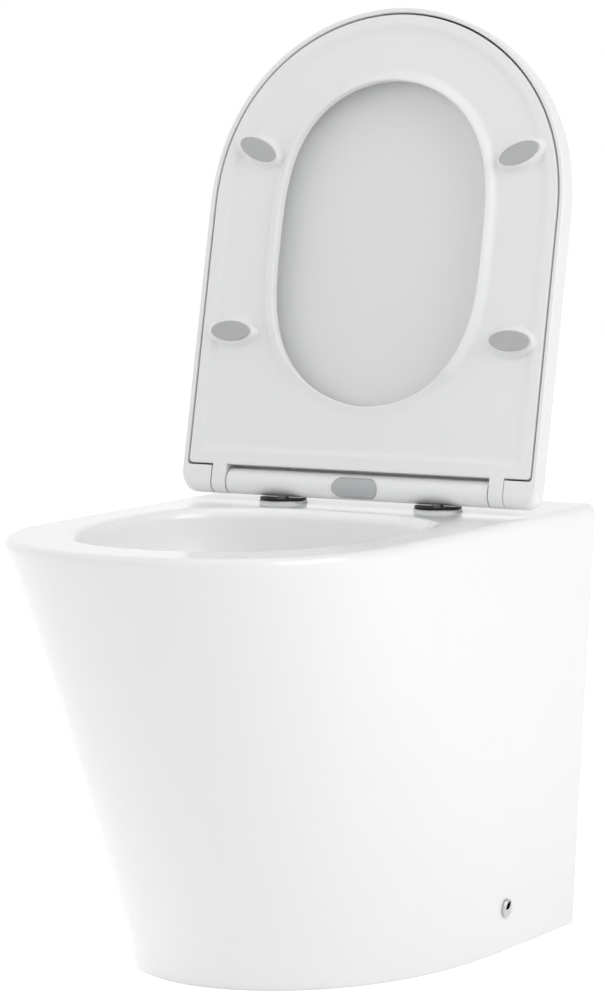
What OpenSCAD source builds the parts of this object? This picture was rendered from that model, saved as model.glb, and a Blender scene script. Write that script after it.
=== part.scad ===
// Back to wall toilet with a wrap-over seat and lid, both raised.
// Millimetres, +Z up. The origin lies on the floor, in the middle of the pan's width and depth.
// The wall is the plane at y = pan_reach / 2, and the front of the pan points along -Y.

/* [Pan outline] */
// Width of the pan at its top
pan_w = 360; // [345:1:380]
// Reach of the pan from the wall to its front, at the top
pan_reach = 562; // [540:1:600]
// Height of the deck above the floor
pan_h = 390; // [375:1:430]
// Distance from the wall over which the top's sides run straight
top_straight = 369; // [340:1:390]
// Width of the pan at the floor
foot_w = 320; // [300:1:340]
// Reach of the pan from the wall to its front, at the floor
foot_reach = 406; // [380:1:440]
// Distance from the wall over which the foot's sides run straight
foot_straight = 133; // [100:1:170]
// How strongly the front sweeps out towards the top
front_sweep = 1.14; // [1:0.01:1.4]
// Radius of the rim's outer edge
rim_edge_r = 7; // [4:0.5:10]
// Radius of the rear upright edges
rear_edge_r = 5; // [2:0.5:8]

/* [Pan walls] */
// Thickness of the ceramic skirt
skirt_t = 11; // [9:0.5:13]
// Thickness of the ceramic deck
deck_t = 15; // [12:0.5:18]
// Thickness of the bowl's and the trapway's wall
bowl_t = 10; // [8:0.5:12]

/* [Bowl] */
// Half width of the bowl's opening
bowl_half_w = 141; // [134:0.5:145]
// Distance from the wall to the widest line of the bowl
bowl_setback = 278; // [272:1:284]
// Length of the opening from its widest line towards the wall
bowl_rear = 108; // [100:0.5:110]
// Length of the opening from its widest line towards the front
bowl_front = 229; // [215:0.5:235]
// Radius of the opening's rounded inner edge
bowl_edge_r = 9; // [6:0.5:11]
// Half width of the sump at the bottom of the bowl
sump_half_w = 48; // [44:1:54]
// Distance from the wall to the middle of the sump
sump_setback = 266; // [262:1:270]
// Half length of the sump
sump_half_l = 52; // [50:1:54]
// Height of the sump's floor
sump_z = 44; // [38:1:50]

/* [Waterways] */
// Height of the outlet's axis above the floor
outlet_h = 180; // [175:1:190]
// Outer diameter of the outlet spigot
outlet_d = 102; // [98:0.5:106]
// Length of the round outlet spigot
outlet_l = 70; // [50:1:80]
// Distance that the spigot's end stays back from the wall
outlet_recess = 10; // [4:1:20]
// Radius of the trapway at its foot
trap_r = 34; // [32:0.5:36]
// Height that the middle of the trapway starts from in the sump
trap_start_z = 78; // [76:1:80]
// Distance from the wall of the point that pulls the trapway's dip
trap_dip_setback = 127; // [122:1:132]
// Height of the point that pulls the trapway's dip
trap_dip_z = -15; // [-16:1:-10]
// Distance from the wall of the point that pulls the rising leg up to the weir
trap_weir_setback = 176; // [170:1:180]
// Height of the point that pulls the rising leg up to the weir
trap_weir_z = 229; // [222:1:232]
// Height of the flush inlet's axis above the floor
inlet_h = 335; // [330:0.5:337]
// Bore of the flush inlet
inlet_bore_d = 55; // [50:0.5:58]
// Wall of the flush inlet
inlet_t = 8; // [6:0.5:9]
// Length of the flush inlet
inlet_l = 60; // [45:1:70]
// Distance that the inlet's mouth stays back from the wall
inlet_recess = 12; // [4:1:20]
// Height of the slot by which the flush enters the bowl
flush_slot_h = 26; // [20:1:30]
// Width of the slot by which the flush enters the bowl
flush_slot_w = 70; // [50:1:80]

/* [Side fixings] */
// Height of the side fixing above the floor
side_fix_h = 40; // [36:0.5:46]
// Distance of the side fixing from the wall
side_fix_setback = 148; // [130:1:160]
// Diameter of the cover cap
cap_d = 17; // [15:0.5:20]
// Height that the cover cap stands proud of the sleeve's flange
cap_h = 2.6; // [2.5:0.1:5]
// Outer diameter of the sleeve in the wall
sleeve_d = 11; // [9:0.5:12]
// Diameter of the side screw
side_screw_d = 6; // [5:0.5:6.5]
// Length of the side screw under its head
side_screw_l = 42; // [36:1:50]
// Length of the floor bracket along the wall side
bracket_l = 64; // [50:1:80]
// Width of the floor bracket's foot
bracket_foot_w = 40; // [34:1:50]
// Thickness of the floor bracket
bracket_t = 7; // [5:0.5:9]
// Diameter of the floor bracket's screw holes
bracket_hole_d = 7; // [5:0.5:8]
// Clearance between a floor bracket and the inner face of the skirt
bracket_gap = 1.3; // [1:0.1:3]

/* [Hinge] */
// Distance from the side of the pan to the middle of a hinge post
post_inset = 100.5; // [95:0.5:112]
// Distance of the hinge posts and the hinge axis from the wall
hinge_setback = 121.5; // [115:0.5:128]
// Height of the hinge axis above the deck
axis_h = 17; // [17:0.1:20]
// Angle by which the raised seat and lid lean back past upright
lean_back = 12.26; // [6:0.01:13]
// Radius of the hinge bar
bar_r = 11.8; // [11.5:0.1:11.9]
// Distance from the end of the hinge bar to the side of the seat
bar_inset = 41; // [38:0.1:46]
// Diameter of the hinge posts above the deck
post_d = 10; // [8:0.5:10.5]
// Diameter of the studs through the deck
stud_d = 8; // [6:0.5:9]
// Length of the studs below the deck's top
stud_l = 44; // [38:1:55]
// Diameter of the stud holes in the deck
stud_hole_d = 14; // [12:0.5:16]
// Diameter of the rosettes
rosette_d = 45; // [38:0.5:50]
// Thickness of the rosettes
rosette_t = 3.2; // [2.5:0.1:3.3]
// Thickness of the gaskets under the rosettes
gasket_t = 1.5; // [1:0.1:1.6]
// Diameter of the washers under the deck
washer_d = 26; // [22:0.5:32]
// Thickness of the washers under the deck
washer_t = 6; // [4:0.5:8]
// Diameter of the wing nuts' hubs
nut_hub_d = 18; // [15:0.5:22]
// Height of the wing nuts
nut_h = 13; // [10:0.5:16]
// Span of the wing nuts
nut_span = 44; // [36:1:50]
// Diameter of the hinge pins
pin_d = 8; // [7:0.5:8.5]
// Diameter of the dampers
damper_d = 16; // [14:0.5:16.5]
// Length of the dampers
damper_l = 40; // [34:1:42]
// Wall of the bushes
bush_t = 2; // [1.5:0.1:2.5]

/* [Release button] */
// Width of the release button
button_w = 46; // [40:0.5:50]
// Height of the release button
button_h = 18; // [14:0.5:18.5]
// Travel of the release button
button_travel = 3; // [2:0.1:3]
// Distance that the button stands proud of the hinge bar
button_proud = 0.6; // [0.2:0.1:1]
// Travel of each latch as the button goes in
latch_travel = 2; // [1.6:0.1:2]

/* [Seat] */
// Distance of the seat's sides inside the sides of the pan
seat_side_in = 5.2; // [3:0.1:10]
// Distance of the seat's front inside the front of the pan
seat_front_in = 5.7; // [1:0.1:12]
// Length from the hinge axis over which the seat's sides run straight
seat_straight = 251; // [235:1:265]
// Distance from the hinge axis to the seat's rear edge
seat_rear = 14; // [13.5:0.1:16]
// Thickness of the seat
seat_t = 17.5; // [15:0.1:17.8]
// Half width of the seat's opening
hole_half_w = 105.2; // [98:0.1:110]
// Distance from the hinge axis to the middle of the opening
hole_mid = 223; // [215:0.5:230]
// Half length of the opening
hole_half_l = 150; // [142:0.5:154]
// Depth of the dish in the seat's underside
dish_d = 3; // [1:0.1:4]
// Width of each seat lug
seat_lug_w = 14.4; // [13:0.1:15]
// Height of the raised oval pad that carries a buffer
pad_h = 3; // [2:0.1:3.2]
// Height of a buffer above its pad
buffer_h = 1.9; // [1:0.1:1.9]
// Length of a seat buffer
buffer_l = 40.5; // [34:0.5:46]
// Width of a seat buffer
buffer_w = 18.6; // [14:0.2:22]
// Distance from the middle of a rear buffer to the side of the seat
buffer_rear_in = 31.8; // [29:0.1:36]
// Distance of the rear buffers from the hinge axis
buffer_rear_y = 137; // [120:1:160]
// Distance from the middle of a front buffer to the side of the seat
buffer_front_in = 40.8; // [37:0.1:46]
// Distance of the front buffers from the hinge axis
buffer_front_y = 307; // [295:1:320]
// Turn of the front buffers away from straight across
buffer_front_turn = 22; // [10:1:35]

/* [Lid] */
// Distance that the lid's skirt reaches out past the seat's edge
lid_wrap = 6; // [5:0.1:9]
// Depth of the lid over its skirt
lid_depth = 25.5; // [25:0.1:28]
// Thickness of the lid's panel
lid_panel_t = 4.5; // [3.5:0.1:5]
// Radius of the lid's rounded outer edge
lid_edge_r = 8; // [6:0.5:9]
// Gap between the seat's edge and the lid's skirt
lid_seat_gap = 1.75; // [1.2:0.05:2.2]
// Radius of the lid's rear corners
lid_corner_r = 11; // [8:0.5:14]
// Distance from the hinge axis to the rear edge of the lid's panel
lid_rear = 10; // [9.5:0.1:12]

/* [Fits] */
// Radial clearance of a shaft that turns or of a rod in its hole
shaft_gap = 0.05; // [0.02:0.01:0.09]
// Clearance between pieces that lie or slide on each other
slide_gap = 0.3; // [0.2:0.05:0.4]

/* [Hidden] */

$fn = 64;
eps = 0.01;
cut = 1;
glaze = "#f1f3f3";
moulded = "#eef0f0";
grey = "#a7a9aa";
chrome = "#c9ccd0";
steel = "#8f959b";
rubber = "#3b3d40";

// exponents of the outlines: 2 is an ellipse, higher is squarer
top_shape = [2.18, 2.15];
foot_shape = [1.93, 2.66];
bowl_shape = [2.3, 2.68];
seat_shape = [1.95, 2.2];
hole_shape = [1.9, 3.16];

wall_y = pan_reach / 2;
post_x = pan_w / 2 - post_inset;
hinge_y = wall_y - hinge_setback;
axis_z = pan_h + axis_h;
raise = 90 + lean_back;
skirt_lean = atan((pan_w - foot_w) / 2 / (pan_h - rim_edge_r));
side_fix_x = foot_w / 2 + side_fix_h * tan(skirt_lean);
rosette_z = pan_h + gasket_t;
post_foot_z = rosette_z + rosette_t;
post_top = 7;
deck_under = pan_h - deck_t;
seat_half_w = pan_w / 2 - seat_side_in;
seat_reach = pan_reach - hinge_setback - seat_front_in;
seat_under = -bar_r;
seat_top = seat_under + seat_t;
bar_half_l = seat_half_w - bar_inset;
buffer_rear_x = seat_half_w - buffer_rear_in;
buffer_front_x = seat_half_w - buffer_front_in;
lug_r = bar_r + 0.2;
lug_in = bar_half_l + 1.1;
lug_out = lug_in + seat_lug_w;
lid_half_w = seat_half_w + lid_wrap;
lid_reach = seat_reach + lid_wrap;
lid_top = seat_under + lid_depth;
lid_inside = lid_top - lid_panel_t;
lid_lug_in = lug_out + 1;
damper_out = bar_half_l - 0.4;

function mix(a, b, t) = a + (b - a) * t;
function pw(c, e) = sign(c) * pow(abs(c), e);
function smooth(t) = t * t * (3 - 2 * t);

// ---------- general forms ----------

// closed skin through equal rings of points, each counted anticlockwise seen from above
module loft(rings) {
    n = len(rings[0]);
    last = len(rings) - 1;
    points = [for (r = rings) for (p = r) p];
    sides = [
        for (j = [0:last - 1]) for (i = [0:n - 1])
            let (a = j * n + i, b = j * n + (i + 1) % n)
            each [[a, a + n, b], [b, a + n, b + n]]
    ];
    polyhedron(points, concat(
        sides,
        [[for (i = [0:n - 1]) i]],
        [[for (i = [n - 1:-1:0]) last * n + i]]
    ), convexity = 6);
}

// slab with two round ends, lying in XY, from z = 0 up
module stadium(l, w, h) {
    for (s = [-1, 1]) translate([s * (l - w) / 2, 0, 0]) cylinder(d = w, h = h);
    translate([-(l - w) / 2, -w / 2, 0]) cube([l - w, w, h]);
}

// level ellipse at height z
function oval_ring(l, w, z, steps = 40) =
    [for (k = [0:steps - 1])
        let (a = 360 * k / steps)
        [l / 2 * cos(a), w / 2 * sin(a), z]];

// one piece on the left and its mirror image on the right, by name
module on_side(side) {
    if (side > 0) children();
    else mirror([1, 0, 0]) children();
}

// rod along X between two places on the hinge axis
module rod_x(x0, x1, r) {
    translate([x0, 0, 0]) rotate([0, 90, 0]) cylinder(r = r, h = x1 - x0);
}

// places the children, drawn as if shut and with the hinge axis as origin, in their raised position
module raised() {
    translate([0, hinge_y, axis_z]) rotate([-raise, 0, 0]) children();
}

// places the children, drawn about the hinge axis, without turning them
module on_axis() {
    translate([0, hinge_y, axis_z]) children();
}

// ---------- pan ----------

// level outline of the pan at height z, drawn in by inset, with its rear edge at distance rear
function pan_ring(z, inset = 0, rear = 0, corner = rear_edge_r, steps = 40) =
    let (
        t = min(1, z / (pan_h - rim_edge_r)),
        g = pow(max(t, 0), front_sweep),
        w = mix(foot_w, pan_w, t) / 2 - inset,
        straight = mix(foot_straight, top_straight, g),
        reach = mix(foot_reach, pan_reach, g) - inset,
        n = mix(foot_shape[0], top_shape[0], t),
        m = mix(foot_shape[1], top_shape[1], t),
        c = max(corner, 0.5)
    )
    concat(
        [for (a = [0, 45, 90]) [w - c + c * cos(a), wall_y - rear - c + c * sin(a), z]],
        [for (a = [90, 135, 180]) [-w + c + c * cos(a), wall_y - rear - c + c * sin(a), z]],
        [for (k = [0:steps])
            let (a = 180 * k / steps)
            [-w * pw(cos(a), 2 / n), wall_y - straight - (reach - straight) * pow(sin(a), 2 / m), z]]
    );

module pan_body() {
    foot_r = 2;
    loft(concat(
        [pan_ring(0, foot_r), pan_ring(foot_r, 0)],
        [for (t = [0.15:0.17:0.83]) pan_ring(t * (pan_h - rim_edge_r))],
        [for (a = [0:22.5:90])
            pan_ring(pan_h - rim_edge_r * (1 - sin(a)), rim_edge_r * (1 - cos(a)))]
    ));
}

// the open back and underside of the pan
module pan_hollow() {
    top = deck_under;
    loft([for (t = [0:0.2:1])
        let (z = mix(-cut, top, t))
        pan_ring(z, skirt_t, -2 * rear_edge_r, 0)]);
}

// part of the edge's rounding that lies inside the stated size of the bowl's mouth
mouth_lip = 3;
sump_depth = 60;
throat_z = sump_z + sump_depth;
bowl_top_z = pan_h - bowl_edge_r;

// level outline of the bowl at depth z, drawn out by grow
function bowl_ring(half_w, mid, rear, front, shape, z, steps = 48) =
    [for (k = [0:steps - 1])
        let (a = 360 * k / steps, l = sin(a) > 0 ? rear : front)
        [half_w * pw(cos(a), 2 / shape[0]), wall_y - mid + l * pw(sin(a), 2 / shape[1]), z]];

// outline of the bowl's inside at the share t of the way down to the sump
function bowl_level(t, grow, z) =
    let (e = smooth(t), drop = bowl_edge_r - mouth_lip)
    bowl_ring(
        mix(bowl_half_w - drop, sump_half_w, e) + grow,
        mix(bowl_setback, sump_setback, e),
        mix(bowl_rear - drop, sump_half_l, e) + grow,
        mix(bowl_front - drop, sump_half_l, e) + grow,
        [mix(bowl_shape[0], 2, e), mix(bowl_shape[1], 2, e)],
        z);

module bowl_inside() {
    loft(concat(
        [for (a = [20, 50, 80]) bowl_level(1, -sump_half_w * (1 - sin(a)), throat_z - sump_depth * cos(a))],
        [for (t = [1:-0.125:0]) bowl_level(t, 0, mix(bowl_top_z, throat_z, t))],
        [for (a = [22.5:22.5:90])
            bowl_level(0, bowl_edge_r * (1 - cos(a)), bowl_top_z + bowl_edge_r * sin(a))],
        [bowl_level(0, bowl_edge_r, pan_h + cut)]
    ));
}

module bowl_outside() {
    depth = sump_depth + bowl_t;
    loft(concat(
        [for (a = [20, 50, 80])
            bowl_level(1, bowl_t - (sump_half_w + bowl_t) * (1 - sin(a)), throat_z - depth * cos(a))],
        [for (t = [1:-0.2:0]) bowl_level(t, bowl_t, mix(bowl_top_z, throat_z, t))]
    ));
}

// how far the trapway is already straight before the spigot, and how far it runs on inside it
trap_lead = 17;
trap_overlap = 20;

// trapway: one smooth curve from the sump, under the dip and over the weir, to the outlet,
// by control points of distance from the wall and height
trap_path = [
    [sump_setback, trap_start_z],
    [trap_dip_setback, trap_dip_z],
    [trap_weir_setback, trap_weir_z],
    [outlet_recess + outlet_l + trap_lead, outlet_h],
    [outlet_recess + outlet_l - trap_overlap, outlet_h],
];

function bezier(p, t) =
    len(p) == 1 ? p[0] : bezier([for (i = [0:len(p) - 2]) mix(p[i], p[i + 1], t)], t);

// ring of a tube round the trapway's middle line
function trap_ring(t, r, sides = 20) =
    let (
        p = bezier(trap_path, t),
        d = bezier(trap_path, t + eps) - bezier(trap_path, t - eps),
        u = d / norm(d)
    )
    [for (k = [0:sides - 1])
        let (a = 360 * k / sides, s = r * sin(a))
        [r * cos(a), wall_y - p[0] + s * u[1], p[1] + s * u[0]]];

module trap_tube(grow, end_r) {
    steps = 12;
    loft([for (k = [0:steps])
        let (t = k / steps)
        trap_ring(t, mix(trap_r + grow, end_r, smooth(t)))]);
}

// a round hole or rod that runs from the wall side towards the front
module from_wall(z, start, l, r) {
    translate([0, wall_y - start, z]) rotate([90, 0, 0]) cylinder(r = r, h = l);
}

// duct from the flush inlet to the slot in the bowl's rear
module flush_duct(grow) {
    steps = 20;
    overlap = 8;
    fall = 14;
    round_d = inlet_bore_d - 6;
    squarish = 0.5;
    start = inlet_recess + inlet_l - overlap;
    stop = bowl_setback - bowl_rear + bowl_edge_r + overlap;
    loft([for (t = [0, 0.5, 1])
        let (w = mix(round_d, flush_slot_w, t) / 2 + grow, h = mix(round_d, flush_slot_h, t) / 2 + grow)
        [for (k = [0:steps - 1])
            let (a = 360 * k / steps, e = mix(1, squarish, t))
            [w * pw(cos(a), e), wall_y - mix(start, stop, t), inlet_h - fall * t + h * pw(sin(a), e)]]]);
}

module pan() {
    outlet_r = outlet_d / 2;
    inlet_r = inlet_bore_d / 2 + inlet_t;
    duct_t = bowl_t - 2;
    // the trapway is a little slimmer than the spigot and its bore, so that it ends inside them
    trap_outer_end = outlet_r - 2;
    trap_inner_end = outlet_r - bowl_t - 0.5;
    bore_stop = 5;
    color(glaze) difference() {
        union() {
            difference() {
                pan_body();
                pan_hollow();
            }
            bowl_outside();
            trap_tube(bowl_t, trap_outer_end);
            flush_duct(duct_t);
            from_wall(outlet_h, outlet_recess, outlet_l, outlet_r);
            from_wall(inlet_h, inlet_recess, inlet_l, inlet_r);
        }
        bowl_inside();
        trap_tube(0, trap_inner_end);
        flush_duct(0);
        from_wall(outlet_h, outlet_recess - cut, outlet_l - bore_stop, outlet_r - bowl_t);
        from_wall(inlet_h, inlet_recess - cut, inlet_l - bore_stop, inlet_bore_d / 2);
        for (s = [-1, 1]) {
            translate([s * post_x, hinge_y, deck_under - cut])
                cylinder(d = stud_hole_d, h = deck_t + 2 * cut);
            side_place(s) translate([0, 0, -2 * skirt_t]) cylinder(d = sleeve_d + 2 * shaft_gap, h = 4 * skirt_t);
        }
    }
}

// ---------- side fixings ----------

// puts the children's +Z square to the skirt's outer face, at the side fixing
module side_place(side) {
    on_side(side)
        translate([side_fix_x, wall_y - side_fix_setback, side_fix_h])
            rotate([0, 90 + skirt_lean, 0]) children();
}

flange_t = 1;
flange_in = 0.5;
screw_head_h = 1.4;
screw_head_d = 9.6;
bracket_out = foot_w / 2 - skirt_t - bracket_gap;

// plastic sleeve through the skirt, with a thin flange outside
module side_sleeve(side) {
    inner_end = 1;
    color(moulded) side_place(side) difference() {
        union() {
            translate([0, 0, -skirt_t - inner_end]) cylinder(d = sleeve_d, h = skirt_t + inner_end + eps);
            cylinder(d = cap_d - 2 * flange_in, h = flange_t);
        }
        translate([0, 0, -2 * skirt_t]) cylinder(d = side_screw_d + 2 * shaft_gap, h = 4 * skirt_t);
    }
}

module side_screw(side) {
    color(steel) side_place(side) {
        translate([0, 0, flange_t - side_screw_l]) cylinder(d = side_screw_d, h = side_screw_l + eps);
        translate([0, 0, flange_t]) cylinder(d = screw_head_d, h = screw_head_h);
    }
}

// chrome cap that clips over the flange and hides the screw's head
module side_cap(side) {
    wall = 0.8;
    edge = 1.4;
    r = cap_d / 2;
    h = cap_h + flange_t;
    inner = r - flange_in + shaft_gap;
    color(chrome) side_place(side) rotate_extrude() difference() {
        union() {
            translate([0, eps]) square([r - edge, h - eps]);
            translate([0, eps]) square([r, h - edge - eps]);
            translate([r - edge, h - edge]) circle(r = edge, $fn = 32);
        }
        translate([-cut, -cut]) square([inner + cut, h - wall + cut]);
    }
}

// angled bracket that is screwed to the floor inside the pan and takes the side screw
module floor_bracket(side) {
    stand_x = bracket_out - bracket_t;
    y0 = wall_y - side_fix_setback - bracket_l / 2;
    boss_d = side_screw_d + 10;
    boss_l = 12;
    stand_h = side_fix_h + 14;
    gusset_h = side_fix_h + 10;
    hole_y = 15;
    color(grey) difference() {
        on_side(side) difference() {
            union() {
                translate([stand_x + bracket_t - bracket_foot_w, y0, 0])
                    cube([bracket_foot_w, bracket_l, bracket_t]);
                translate([stand_x, y0, 0]) cube([bracket_t, bracket_l, stand_h]);
                for (s = [0, 1])
                    translate([stand_x + eps, y0 + bracket_t + s * (bracket_l - bracket_t), 0])
                        rotate([90, 0, 0]) linear_extrude(bracket_t)
                            polygon([[0, 0], [bracket_t - bracket_foot_w, 0],
                                [bracket_t - bracket_foot_w, bracket_t], [0, gusset_h]]);
            }
            for (s = [-1, 1])
                translate([stand_x - (bracket_foot_w - bracket_t) / 2, y0 + bracket_l / 2 + s * hole_y, -cut])
                    cylinder(d = bracket_hole_d, h = bracket_t + 2 * cut);
        }
        side_place(side) translate([0, 0, -2 * side_screw_l])
            cylinder(d = side_screw_d + 2 * shaft_gap, h = 3 * side_screw_l);
    }
    color(grey) side_place(side)
        translate([0, 0, (bracket_out - side_fix_x) - bracket_t - boss_l]) difference() {
            cylinder(d = boss_d, h = boss_l);
            translate([0, 0, -cut]) cylinder(d = side_screw_d + 2 * shaft_gap, h = boss_l + 2 * cut);
        }
}

// ---------- hinge posts and what clamps them ----------

module at_post(side, z) {
    translate([side * post_x, hinge_y, z]) children();
}

module rosette_gasket(side) {
    inset = 0.5;
    color("#dfe2e3") at_post(side, pan_h) difference() {
        cylinder(d = rosette_d - 2 * inset, h = gasket_t);
        translate([0, 0, -cut]) cylinder(d = stud_d + 2 * shaft_gap, h = gasket_t + 2 * cut);
    }
}

module rosette(side) {
    r = rosette_d / 2;
    edge = 0.8;
    color(chrome) at_post(side, rosette_z) rotate_extrude() difference() {
        union() {
            square([r - edge, rosette_t]);
            square([r, rosette_t - edge]);
            translate([r - edge, rosette_t - edge]) circle(r = edge, $fn = 32);
        }
        translate([-cut, -cut]) square([stud_d / 2 + shaft_gap + cut, rosette_t + 2 * cut]);
    }
}

groove_depth = 1.4;
groove_h = 8.8;

// steel post with a latch groove above the deck and a stud below it
module hinge_post(side) {
    top = axis_z + post_top;
    r = post_d / 2;
    color(steel) difference() {
        union() {
            at_post(side, post_foot_z) cylinder(r = r, h = top - post_foot_z);
            at_post(side, pan_h - stud_l) cylinder(d = stud_d, h = stud_l + gasket_t + rosette_t + eps);
        }
        at_post(side, axis_z - groove_h / 2) difference() {
            cylinder(r = r + cut, h = groove_h);
            translate([0, 0, -cut]) cylinder(r = r - groove_depth, h = groove_h + 2 * cut);
        }
    }
}

// rubber washer with a sleeve that centres the stud in the deck's hole
module deck_washer(side) {
    // the sleeve stops short of the deck's upper face
    sleeve_h = washer_t + deck_t - 3;
    color(rubber) at_post(side, deck_under - washer_t) difference() {
        union() {
            cylinder(d = washer_d, h = washer_t);
            cylinder(d = stud_hole_d - 2 * slide_gap, h = sleeve_h);
        }
        translate([0, 0, -cut]) cylinder(d = stud_d + 2 * shaft_gap, h = deck_t + washer_t + 2 * cut);
    }
}

module wing_nut(side) {
    z = deck_under - washer_t - nut_h;
    wing_t = 3;
    wing_h = nut_h - 4;
    tip_d = nut_h - 1;
    color(moulded) at_post(side, z) difference() {
        union() {
            cylinder(d = nut_hub_d, h = nut_h);
            translate([-nut_span / 2, -wing_t / 2, 0]) cube([nut_span, wing_t, wing_h]);
            for (s = [-1, 1]) translate([s * (nut_span - wing_h) / 2, wing_t / 2, wing_h / 2])
                rotate([90, 0, 0]) cylinder(d = tip_d, h = wing_t);
        }
        translate([0, 0, -cut]) cylinder(d = stud_d + 2 * shaft_gap, h = nut_h + 2 * cut);
    }
}

// ---------- hinge bar ----------

channel_h = 13;
button_back = 3.5;
channel_front = 5.2;
channel_half_l = post_x - 9.5;
cover_y = 8.6;
latch_h = 8;
latch_front = 0.6;
latch_back = 7.6;
latch_in = 9;
latch_tip = post_x - post_d / 2 + groove_depth - 0.1;

// round-ended prism along Y, from y0 to y1, centred on the hinge axis
module stadium_y(l, w, y0, y1) {
    translate([0, y1, 0]) rotate([90, 0, 0]) stadium(l, w, y1 - y0);
}

// round bar that sits on both posts and carries the dampers and the release
module hinge_bar() {
    color(moulded) on_axis() difference() {
        rod_x(-bar_half_l, bar_half_l, bar_r);
        translate([-channel_half_l, -channel_front, -channel_h / 2])
            cube([2 * channel_half_l, channel_front + bar_r + cut, channel_h]);
        translate([-latch_tip - 1, latch_front - slide_gap, -latch_h / 2 - slide_gap])
            cube([2 * latch_tip + 2, latch_back - latch_front + 2 * slide_gap, latch_h + 2 * slide_gap]);
        stadium_y(button_w + 2 * slide_gap, button_h + 2 * slide_gap,
            -bar_r - cut, -button_back + button_travel + slide_gap);
        for (s = [-1, 1]) {
            translate([s * post_x, 0, -bar_r - cut])
                cylinder(r = post_d / 2 + shaft_gap, h = bar_r + post_top + cut + slide_gap);
            on_side(s) {
                rod_x(damper_out - damper_l - slide_gap, bar_half_l + cut, damper_d / 2 + shaft_gap);
            }
        }
    }
}

// strip that closes the back of the hinge bar's channel
module hinge_bar_cover() {
    color(moulded) on_axis() intersection() {
        rod_x(-channel_half_l + slide_gap, channel_half_l - slide_gap, bar_r);
        translate([-channel_half_l, cover_y, -channel_h / 2 + slide_gap])
            cube([2 * channel_half_l, bar_r, channel_h - 2 * slide_gap]);
    }
}

// rotary damper, held in the end of the hinge bar
module damper(side) {
    blind = 22;
    color(steel) on_axis() on_side(side) difference() {
        rod_x(damper_out - damper_l, damper_out, damper_d / 2);
        rod_x(damper_out - blind, damper_out + cut, pin_d / 2 + shaft_gap);
    }
}

// ---------- release ----------

prong_out = 23;
prong_in = 15;
prong_tip = 5;
prong_base = -2.8;
prong_half_h = 1.5;
wedge = latch_travel / button_travel;

// plan of one prong: its inner face slants by the ratio of the two travels
module prong_plan(grow, slack) {
    run = prong_tip - prong_base;
    polygon([
        [prong_in - grow - wedge * slack, prong_base - slack],
        [prong_out + grow + latch_travel * sign(slack), prong_base - slack],
        [prong_out + grow + latch_travel * sign(slack), prong_tip + slack],
        [prong_in - grow + wedge * (run + slack), prong_tip + slack],
    ]);
}

// long button with a flange behind the bar's wall and a wedge prong for each latch
module release_button() {
    flange = 2;
    color(grey) on_axis() {
        intersection() {
            stadium_y(button_w, button_h, -bar_r - button_travel, prong_base);
            rod_x(-button_w, button_w, bar_r + button_proud);
            translate([-button_w, -2 * bar_r, -bar_r]) cube([2 * button_w, 2 * bar_r - button_back, 2 * bar_r]);
        }
        translate([-button_w / 2 - flange, prong_base - flange, -channel_h / 2 + slide_gap])
            cube([button_w + 2 * flange, flange, channel_h - 2 * slide_gap]);
        for (s = [-1, 1]) on_side(s)
            translate([0, 0, -prong_half_h]) linear_extrude(2 * prong_half_h) prong_plan(0, 0);
    }
}

// flat latch whose tip locks in the post's groove
module latch(side) {
    spring_seat_r = 3;
    spring_seat = 2;
    color("#d8dadb") on_axis() on_side(side) difference() {
        translate([latch_in, latch_front, -latch_h / 2])
            cube([latch_tip - latch_in, latch_back - latch_front, latch_h]);
        translate([0, 0, -prong_half_h - slide_gap])
            linear_extrude(2 * (prong_half_h + slide_gap)) prong_plan(slide_gap, button_travel + 1);
        translate([0, (latch_front + latch_back) / 2, 0])
            rod_x(latch_in - cut, latch_in + spring_seat, spring_seat_r);
    }
}

// compression spring between the two latches
module latch_spring() {
    turns = 7;
    per_turn = 10;
    sides = 6;
    wire_r = 0.4;
    coil_r = 2.2;
    half_l = latch_in + 2 - wire_r - 0.1;
    ring = function (k)
        let (a = 360 * k / per_turn, x = mix(-half_l, half_l, k / (turns * per_turn)))
        [for (j = [0:sides - 1])
            let (b = 360 * j / sides, r = coil_r + wire_r * cos(b))
            [x - wire_r * sin(b), r * cos(a), r * sin(a)]];
    color(steel) on_axis() translate([0, (latch_front + latch_back) / 2, 0])
        loft([for (k = [0:turns * per_turn]) ring(k)]);
}

// ---------- seat ----------

// level outline of the seat or the lid, from its rear right corner round by the front
function cover_ring(half_w, straight, reach, rear, corner, shape, z, steps = 44) =
    let (c = max(corner, 0.5))
    concat(
        [for (a = [0:22.5:90]) [half_w - c + c * cos(a), -rear - c + c * sin(a), z]],
        [for (a = [90:22.5:180]) [-half_w + c + c * cos(a), -rear - c + c * sin(a), z]],
        [for (k = [0:steps])
            let (a = 180 * k / steps)
            [-half_w * pw(cos(a), 2 / shape[0]),
                -straight - (reach - straight) * pow(sin(a), 2 / shape[1]), z]]
    );

module seat_blank() {
    edge = 4;
    loft(concat(
        [seat_ring_at(1.2, seat_under), seat_ring_at(0, seat_under + 1.2)],
        [for (a = [0:30:90]) seat_ring_at(edge * (1 - cos(a)), seat_top - edge * (1 - sin(a)))]
    ));
}

function seat_ring_at(inset, z) =
    cover_ring(seat_half_w - inset, seat_straight, seat_reach - inset, seat_rear + inset / 2, 4,
        seat_shape, z);

function hole_ring(grow, z, steps = 48) =
    [for (k = [0:steps - 1])
        let (a = 360 * k / steps)
        [(hole_half_w + grow) * pw(cos(a), 2 / hole_shape[0]),
            -hole_mid + (hole_half_l + grow) * pw(sin(a), 2 / hole_shape[1]), z]];

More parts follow.
